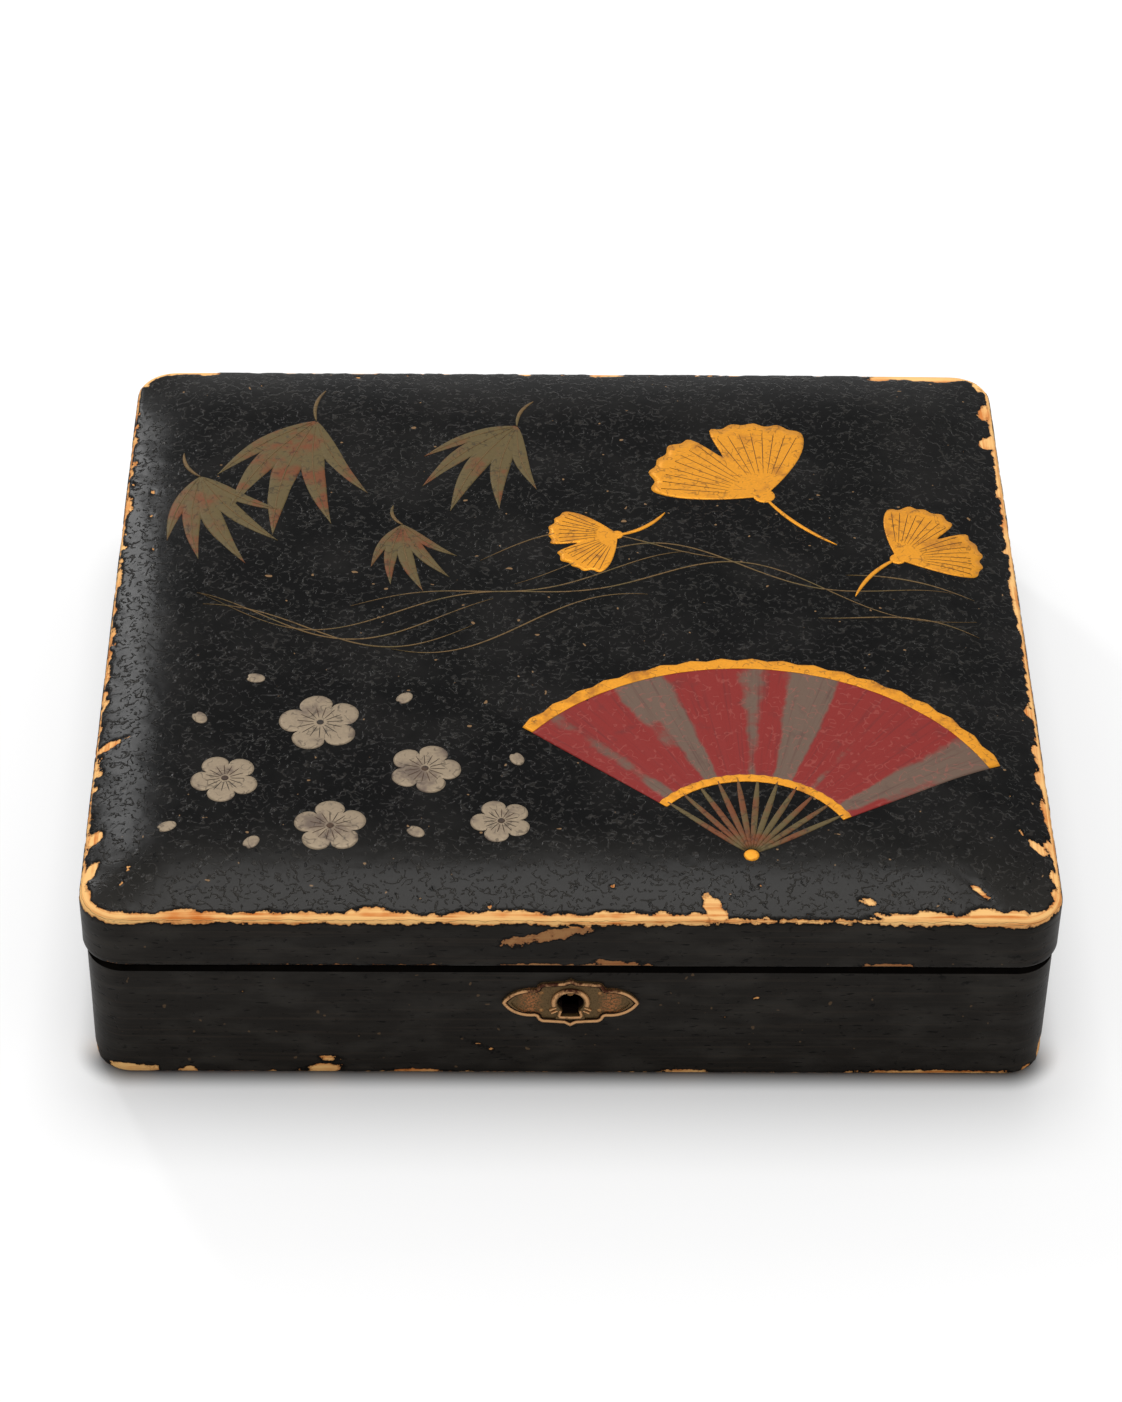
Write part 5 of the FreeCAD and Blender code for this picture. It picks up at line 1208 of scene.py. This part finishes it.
class WRITINGBOX_OT_ginkgo(bpy.types.Operator):
    """Lays the gold ginkgo leaves with their engraved rays on the lid"""

    bl_idname = "writingbox.ginkgo"
    bl_label = "Ginkgo Leaves"

    def execute(self, context):
        settings = context.scene.writingbox_design
        thickness = settings.thickness / MM
        gold = inlay_finish("leaf_gold", settings.gold, tint(204, 130, 36), 0.6, 0.35, 0.34)
        dark = inlay_finish("leaf_lines", tint(84, 52, 22), tint(60, 38, 20), 0.5, 0.1, 0.5)
        leaves = (((56, 52), 0.55, 34), ((92, 24), -0.9, 24), ((14, 34), 1.9, 19))
        for number, (centre, turn, reach) in enumerate(leaves, start=1):
            angles = [(math.pi / 2 + side, reach) for side in np.linspace(-0.92, 0.92, 17) if abs(side) > 0.1]
            stalk = curve_through(((0, 1), (0.5, -0.4 * reach), (5, -0.85 * reach)), 24)
            stalk_line = line_on_lid(placed(stalk, turn, centre), 1.3, 1.6 * thickness)
            lay(f"ginkgo_leaf_{number}", [inlay(ginkgo_leaf, centre, turn, reach, 1.4 * thickness)], gold)
            lay(f"ginkgo_lines_{number}", rays(centre, turn, angles, 0.3, 0.86, 0.34, 1.9 * thickness), dark)
            lay(f"ginkgo_stalk_{number}", [stalk_line], gold)
        return {"FINISHED"}


class WRITINGBOX_OT_plum(bpy.types.Operator):
    """Lays the scattered silver plum blossoms and fallen petals on the lid"""

    bl_idname = "writingbox.plum"
    bl_label = "Plum Blossoms"

    def execute(self, context):
        settings = context.scene.writingbox_design
        thickness = settings.thickness / MM
        silver = inlay_finish("blossom_silver", settings.silver, tint(112, 96, 84), 0.56, 0.3, 0.4)
        dark = inlay_finish("blossom_lines", tint(52, 44, 38), tint(84, 60, 42), 0.5, 0.1, 0.5)
        blossoms = (
            ((-66, -46), 0.2, 11),
            ((-38, -64), 0.9, 9.5),
            ((-90, -68), 0.5, 9),
            ((-62, -86), 1.3, 9.5),
            ((-18, -84), 0.4, 8),
        )
        for number, (centre, turn, reach) in enumerate(blossoms, start=1):
            angles = [(math.radians(18 + 24 * ray), reach) for ray in range(15)]
            stamens = rays(centre, turn, angles, 0.16, 0.56, 0.34, 2.0 * thickness)
            stamens.append(inlay(disc, centre, 0, 1.1, 2.4 * thickness, 32, 5))
            lay(f"blossom_{number}", [inlay(plum_blossom, centre, turn, reach, 1.3 * thickness, 160)], silver)
            lay(f"blossom_stamens_{number}", stamens, dark)
        fallen = (
            ((-98, -44), 0.6),
            ((-44, -36), 2.4),
            ((-14, -60), 0.4),
            ((-82, -92), 2.5),
            ((-40, -88), 0.9),
            ((-104, -86), 2.0),
            ((-84, -28), 1.4),
        )
        petals = [inlay(petal, place, turn, 2.6, thickness, 64, 6) for place, turn in fallen]
        lay("plum_petals", petals, silver)
        return {"FINISHED"}


class WRITINGBOX_OT_stream(bpy.types.Operator):
    """Lays the thin lines of a winding stream on the lid"""

    bl_idname = "writingbox.stream"
    bl_label = "Stream Lines"

    def execute(self, context):
        settings = context.scene.writingbox_design
        width, thickness = settings.line_width / MM, 0.8 * settings.thickness / MM
        bronze = inlay_finish("stream_line", settings.line, settings.olive, 0.55, 0.25, 0.42)
        random = np.random.default_rng(5)
        bank, shortest, spacing = 112, 70, 3.4
        lines = []
        for number in range(9):
            start, end = sorted(random.uniform(-bank, bank, 2))
            x = np.linspace(start, min(max(end, start + shortest), bank), 150)
            y = -6 + spacing * number + 11 * np.sin(x / 30 + 0.12 * number) + 5 * np.sin(x / 13 + number)
            lines.append(line_on_lid(np.stack((x, y), -1), width, thickness))
        lay("stream_lines", lines, bronze)
        return {"FINISHED"}


# The keyhole plate, in mm from the keyhole's centre. A bow is an arc's radius as a share of its side
PLATE_QUARTER = ((17.6, 0), (9.2, 4.7), (8.7, 5.0), (6.2, 6.9), (1.6, 7.25), (0, 8.3))
PLATE_BOWS = (0.85, None, 0.72, None, None)
COLLAR_RADIUS = 4.35
KEYHOLE_RIM = ((-2.45, -2.9), (-2.9, -4.5), (-2.6, -5.1), (0, -5.25), (2.6, -5.1), (2.9, -4.5), (2.45, -2.9))
TICK_BARS = (((3.6, -1.9), (5.4, -2.9)), ((3.3, -3.0), (4.9, -3.9)))


def bowed(start, end, bow, count):
    """Points from start towards end, on an arc that bulges to the right, of bow times the chord as radius."""
    start, end = np.array(start, float), np.array(end, float)
    share = np.arange(count)[:, None] / count
    chord = end - start
    straight = start + chord * share
    if bow is None:
        return straight
    middle = math.sqrt(bow**2 - 0.25)
    rise = np.sqrt(bow**2 - (share - 0.5) ** 2) - middle
    return straight + rise * np.array((chord[1], -chord[0]))


def plate_line():
    """The escutcheon's outline, counter-clockwise seen from the front, from the right point on."""
    sides = zip(PLATE_QUARTER, PLATE_QUARTER[1:], PLATE_BOWS)
    quarter = np.concatenate([bowed(start, end, bow, 24 if bow else 6) for start, end, bow in sides])
    other = np.concatenate((((0.0, PLATE_QUARTER[-1][1]),), quarter[:0:-1])) * (-1, 1)
    upper = np.concatenate((quarter, other))
    return np.concatenate((upper, -upper))


def bead(path, width, height, front, closed=False, lean=0.0):
    """A rolled bead along a path on the front, in x and z from the keyhole's centre: a half round.

    Its middle lies inwards of the path by the lean, and its foot is sunk by 0.15 mm."""
    side = left_of(path, closed)
    across = lean + ROUND_ACROSS * width
    flat = path[:, None] + side[:, None] * across[None, :, None]
    out = np.where(ROUND_HEIGHT < 0, -0.15, ROUND_HEIGHT * height)
    depth = np.broadcast_to(front - out, flat.shape[:2])
    return swept(np.stack((flat[..., 0], depth, flat[..., 1] + KEY_HEIGHT), -1), closed)


def brush_tip(centre, start, length, radius, flutes):
    """A brush's tip along y: bellied at a quarter of its length, drawn in to a point as (1 - s^2.2)^0.8.

    The hair's bundles make flutes: sines of the angle that vary the radius, more so towards the point."""
    rows, columns = 40, 96
    share = np.linspace(0, 0.995, rows)[:, None]
    angle = np.linspace(0, -2 * math.pi, columns, endpoint=False)
    belly = 0.86 + 0.14 * np.sin(math.pi * np.clip(share * 2, 0, 1))
    reach = radius * belly * (1 - share**2.2) ** 0.8
    tufts = np.sin(flutes * angle + 2.5 * share) + 0.6 * np.sin((2 * flutes + 3) * angle - 4 * share + 1)
    reach = reach * (0.965 + 0.03 * tufts * (0.35 + share))
    along = np.broadcast_to(start + length * share, reach.shape)
    rings = np.stack((centre[0] + reach * np.cos(angle), along, centre[1] + reach * np.sin(angle)), -1)
    rings = rings.reshape(-1, 3)
    poles = np.array(((centre[0], start, centre[1]), (centre[0], start + length, centre[1])))
    last = (rows - 1) * columns
    faces = [
        grid_faces(rows, columns),
        fan_faces(0, columns, len(rings), upward=False),
        fan_faces(last, columns, len(rings) + 1),
    ]
    run = np.stack((np.tile(np.arange(columns) / columns, rows), np.repeat(share[:, 0], columns)), -1)
    return np.concatenate((rings, poles)), faces, np.concatenate((run, ((0, 0), (0, 1))))


def shared(name, make, *values):
    """The finish of that name, made when it is first asked for."""
    return bpy.data.materials.get(name) or make(*values)


def dress(material, *nodes):
    """Gives CAD nodes one finish."""
    for node in nodes:
        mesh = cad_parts[node].data
        mesh.materials.clear()
        mesh.materials.append(material)


def blacken(coat, low, high):
    """Gives a coat's faces between two heights, in mm, the seam's painted shade."""
    mesh = coat.data
    mesh.materials.append(shared("seam_shade", seam_shade))
    centres = np.zeros(3 * len(mesh.polygons))
    mesh.polygons.foreach_get("center", centres)
    height = centres[2::3] / MM
    mesh.polygons.foreach_set("material_index", ((height > low) & (height < high)).astype(np.int32))
    mesh.update()


def lay_coat(name, shape, settings, body, low, high):
    """Puts a lacquer coat on its body, with painted shade between two heights in mm."""
    points, faces, run, fields = shape
    lacquer = shared("worn_lacquer", worn_lacquer, settings)
    coat = make_piece(name, points, faces, lacquer, body, "black_lacquer", run, fields)
    blacken(coat, low, high)
    return coat


class WRITINGBOX_OT_lid_coat(bpy.types.Operator):
    """Lays the worn black lacquer over the lid"""

    bl_idname = "writingbox.lid_coat"
    bl_label = "Lid Lacquer"

    def execute(self, context):
        settings = context.scene.writingbox_coat
        lay_coat("lid_lacquer", lid_coat(settings), settings, "lid", LID_FOOT - 1, LID_FOOT + LID_SHADE)
        return {"FINISHED"}


class WRITINGBOX_OT_case_coat(bpy.types.Operator):
    """Lays the worn black lacquer over the case"""

    bl_idname = "writingbox.case_coat"
    bl_label = "Case Lacquer"

    def execute(self, context):
        settings = context.scene.writingbox_coat
        shape = case_coat(settings)
        coat = lay_coat("case_lacquer", shape, settings, "base", CASE_TOP - CASE_SHADE, CASE_TOP + 1)
        wall = coat.modifiers.new("Thickness", "SOLIDIFY")
        wall.thickness = CASE_SHELL * MM
        wall.offset = -1
        return {"FINISHED"}


class WRITINGBOX_OT_joinery(bpy.types.Operator):
    """Finishes the wooden boards of case, lid and trays"""

    bl_idname = "writingbox.joinery"
    bl_label = "Boards and Trays"

    def execute(self, context):
        settings = context.scene.writingbox_coat
        walls = [f"base_{side}_wall" for side in ("front", "back", "left", "right")]
        rails = [f"lid_{side}_rail" for side in ("front", "back", "left", "right")]
        fittings = ["inkstone_board", "left_tray", "brush_tray", "brush_rest_front", "brush_rest_back"]
        dress(inner_lacquer(settings), *walls, *rails, "base_floor", "lid_top_board", *fittings)
        return {"FINISHED"}


class WRITINGBOX_OT_brass(bpy.types.Operator):
    """Finishes the hinges, the lock and the screws"""

    bl_idname = "writingbox.brass"
    bl_label = "Hinges and Lock"

    def execute(self, context):
        settings = context.scene.writingbox_fittings
        selvedge = (CASE_TOP - 2) * MM
        sides = ("left", "right")
        leaves = [f"hinge_{side}_{leaf}" for side in sides for leaf in ("base_leaf", "lid_leaf")]
        screws = [f"hinge_{side}_{kind}" for side in sides for kind in ("pin", "base_screws", "lid_screws")]
        screws += ["lock_drill_pin", "lock_screws", "link_plate_screws", "escutcheon_tacks"]
        for name, nodes, look in (
            ("aged_brass", [*leaves, "link_plate", "lock_bolt"], (160, 0.5, 0.32)),
            # The lock case is painted black below its selvedge: painted shade for the part inside the wall
            ("lock_brass", ["lock_case"], (160, 0.5, 0.32, selvedge)),
            ("screw_brass", screws, (420, 0.6, 0.28)),
            ("spring_brass", ["lock_bolt_spring"], (90, 0.75, 0.24)),
        ):
            dress(metal(name, settings.brass, settings.old_brass, *look), *nodes)
        # The lock cap inside the wall is painted nearly black, as the shade it lies in
        dress(shared("shade_dark_brass", shade_dark_brass), "lock_cap")
        dress(stippled_brass(settings), "escutcheon")
        return {"FINISHED"}


class WRITINGBOX_OT_writing_set(bpy.types.Operator):
    """Finishes the inkstone, water dropper, ink stick and brush handles"""

    bl_idname = "writingbox.writing_set"
    bl_label = "Writing Set"

    def execute(self, context):
        settings = context.scene.writingbox_fittings
        dress(slate(settings), "inkstone")
        dress(metal("dark_bronze", settings.bronze, tint(30, 32, 28), 90, 0.5, 0.36), "water_dropper")
        dress(ink_cake(settings), "ink_stick")
        dress(bamboo(settings), "brush_large_handle", "brush_small_handle")
        hair = brush_hair(settings)
        for size, flutes in (("large", 11), ("small", 8)):
            node = f"brush_{size}_tip"
            low, high = (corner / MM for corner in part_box(node))
            middle = (low + high) / 2
            shape = brush_tip((middle.x, middle.z), low.y, high.y - low.y, (high.x - low.x) / 2, flutes)
            tip = make_piece(f"{size}_brush_hair", *shape[:2], hair, f"{size}_brush", "hair", shape[2])
            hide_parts(node)
        return {"FINISHED"}


class WRITINGBOX_OT_escutcheon(bpy.types.Operator):
    """Rolls the escutcheon's border and lays the collar, rim and tick bars round its keyhole"""

    bl_idname = "writingbox.escutcheon"
    bl_label = "Keyhole Plate"

    def execute(self, context):
        height = context.scene.writingbox_fittings.bead_height / MM
        border = bead(plate_line(), 0.9, height, PLATE_FRONT, closed=True, lean=0.4)
        # A thin dark ribbon inside the border: painted shade for the groove
        groove_shade = bead(plate_line(), 0.4, 0.12 * height, PLATE_FRONT, closed=True, lean=1.0)
        turn = np.radians(np.linspace(-14, 194, 60))
        circle = COLLAR_RADIUS * np.stack((np.cos(turn), np.sin(turn)), -1)
        collar = bead(circle, 1.3, 1.6 * height, PLATE_FRONT + 0.1)
        knots = np.arange(len(KEYHOLE_RIM))
        at = np.linspace(0, knots[-1], 50)
        rim = np.stack([np.interp(at, knots, values) for values in zip(*KEYHOLE_RIM)], -1)
        shapes = [border, collar, bead(rim, 0.7, height, PLATE_FRONT)]
        for side in (-1, 1):
            for start, end in TICK_BARS:
                shapes.append(bead(np.linspace(start, end, 8) * (side, 1), 0.5, height, PLATE_FRONT + 0.25))
        points, faces, run = join_shapes(shapes)
        fields = (("Upper", ease(points[:, 2] - KEY_HEIGHT, 2.0, 6.0)),)
        make_piece("escutcheon_beads", points, faces, rolled_brass(), "base", "brass", run, fields)
        points, faces, run = groove_shade
        dark = shared("shade_dark_brass", shade_dark_brass)
        make_piece("escutcheon_groove_shade", points, faces, dark, "base", "brass", run)
        return {"FINISHED"}


def area_lamp(name, place, width, height, watts):
    """A rectangular soft lamp at a place, facing the box."""
    light = bpy.data.lights.new(name, "AREA")
    light.shape = "RECTANGLE"
    light.size = width
    light.size_y = height
    light.energy = watts
    lamp = bpy.data.objects.new(name, light)
    lamp.location = place
    lamp.rotation_euler = (Vector() - Vector(place)).to_track_quat("-Z", "Y").to_euler()
    bpy.context.scene.collection.objects.link(lamp)


def seen_ray(finish):
    """1 for rays from the camera, and 0 for the light that falls on the box."""
    return finish.node("ShaderNodeLightPath", out="Is Camera Ray")


def white_room(scene, ambient):
    """Lights with a plain ambient share, and shows white to the camera."""
    room = Finish("white_room", bpy.data.worlds)
    colour = room.mix(seen_ray(room), (ambient,) * 3, (1, 1, 1))
    background = room.node("ShaderNodeBackground", sockets={"Color": colour})
    room.node("ShaderNodeOutputWorld", sockets={"Surface": background})
    scene.world = room.owner


def pale_floor(settings):
    """A pale floor that the camera sees a little brighter, so it meets the white room without an edge.

    A painted shadow darkens it over the last few millimetres before the foot, by the distance from the case's
    rounded outline, and less so at the sides and the back."""
    finish = Finish("pale_floor")
    past = []
    for letter, half in zip("XY", CASE_HALF):
        along = abs(finish.axis(letter)) - (half - CASE_RADIUS) * MM
        past.append(along.math("MAXIMUM", along, 0.0))
    gap = past[0].math("SQRT", past[0] * past[0] + past[1] * past[1]) - CASE_RADIUS * MM
    front = finish.step(finish.axis("Y"), -CASE_HALF[1] * MM, (15 - CASE_HALF[1]) * MM, 1.0, 0.3)
    # clear falls towards the foot: the painted shadow, which also takes away the floor's glow there
    clear = 1 - finish.fade(gap, -0.001, FOOT_SHADE) * front
    return finish.surface(
        base_color=finish.mix(clear, (0.2, 0.2, 0.2), settings.floor),
        roughness=0.8,
        specular_ior_level=0.1,
        emission_color=finish.mix(seen_ray(finish) * clear, (0, 0, 0), (FLOOR_GLOW,) * 3),
        emission_strength=1.0,
    )


def photo_camera(settings):
    """The camera at the photograph's place: turned right by the yaw, tilted down by the pitch, and rolled."""
    camera = bpy.data.objects.new("camera", bpy.data.cameras.new("camera"))
    camera.data.lens = settings.lens
    camera.data.clip_start = 0.05
    ahead = Vector((
        math.sin(settings.yaw) * math.cos(settings.pitch),
        math.cos(settings.yaw) * math.cos(settings.pitch),
        -math.sin(settings.pitch),
    ))
    level = Vector((math.cos(settings.yaw), -math.sin(settings.yaw), 0))
    upright = level.cross(ahead)
    right = level * math.cos(settings.roll) + upright * math.sin(settings.roll)
    above = upright * math.cos(settings.roll) - level * math.sin(settings.roll)
    turn = Matrix((right, above, -ahead)).transposed().to_4x4()
    camera.matrix_world = Matrix.Translation(settings.camera_place) @ turn
    return camera


def floor_sheet(reach):
    """A flat square that reaches equally far on all sides."""
    mesh = bpy.data.meshes.new("floor")
    corners = [(x * reach, y * reach, 0) for x, y in ((-1, -1), (1, -1), (1, 1), (-1, 1))]
    mesh.from_pydata(corners, [], [(0, 1, 2, 3)])
    return bpy.data.objects.new("floor", mesh)


class WRITINGBOX_OT_stage(bpy.types.Operator):
    """Sets the camera, the soft studio lamps and the pale floor"""

    bl_idname = "writingbox.stage"
    bl_label = "Studio"

    def execute(self, context):
        scene = context.scene
        settings = scene.writingbox_studio
        camera = photo_camera(settings)
        scene.collection.objects.link(camera)
        scene.camera = camera
        scene.view_settings.view_transform = "Standard"
        area_lamp("overhead_lamp", (0.0, 0.42, 1.6), 0.75, 0.75, settings.top_light)
        area_lamp("back_left_lamp", (-0.9, 1.53, 1.14), 0.2, 0.8, settings.back_light)
        white_room(scene, settings.ambient)
        floor = floor_sheet(reach=4.0)
        floor.data.materials.append(pale_floor(settings))
        scene.collection.objects.link(floor)
        return {"FINISHED"}


class WRITINGBOX_PT_panel(bpy.types.Panel):
    """Lists the operators and their settings"""

    bl_label = "Writing Box"
    bl_idname = "WRITINGBOX_PT_panel"
    bl_space_type = "VIEW_3D"
    bl_region_type = "UI"
    bl_category = "Writing Box"

    def draw(self, context):
        for operator in OPERATORS:
            self.layout.operator(operator.bl_idname)
        for name, group in SETTINGS.items():
            box = self.layout.box()
            box.label(text=name.replace("writingbox_", "").title())
            for key in group.__annotations__:
                box.prop(getattr(context.scene, name), key)


SETTINGS = {
    "writingbox_coat": CoatSettings,
    "writingbox_design": DesignSettings,
    "writingbox_fittings": FittingSettings,
    "writingbox_studio": StudioSettings,
}
OPERATORS = (
    WRITINGBOX_OT_stage,
    WRITINGBOX_OT_joinery,
    WRITINGBOX_OT_brass,
    WRITINGBOX_OT_escutcheon,
    WRITINGBOX_OT_writing_set,
    WRITINGBOX_OT_lid_coat,
    WRITINGBOX_OT_case_coat,
    WRITINGBOX_OT_fan,
    WRITINGBOX_OT_bamboo,
    WRITINGBOX_OT_ginkgo,
    WRITINGBOX_OT_plum,
    WRITINGBOX_OT_stream,
)


def register():
    for name, group in SETTINGS.items():
        bpy.utils.register_class(group)
        setattr(bpy.types.Scene, name, PointerProperty(type=group))
    for made in (*OPERATORS, WRITINGBOX_PT_panel):
        bpy.utils.register_class(made)


def unregister():
    for made in (WRITINGBOX_PT_panel, *reversed(OPERATORS)):
        bpy.utils.unregister_class(made)
    for name, group in SETTINGS.items():
        delattr(bpy.types.Scene, name)
        bpy.utils.unregister_class(group)


def main():
    register()
    for operator in OPERATORS:
        getattr(bpy.ops.writingbox, operator.bl_idname.split(".")[1])()


if __name__ == "__main__":
    main()
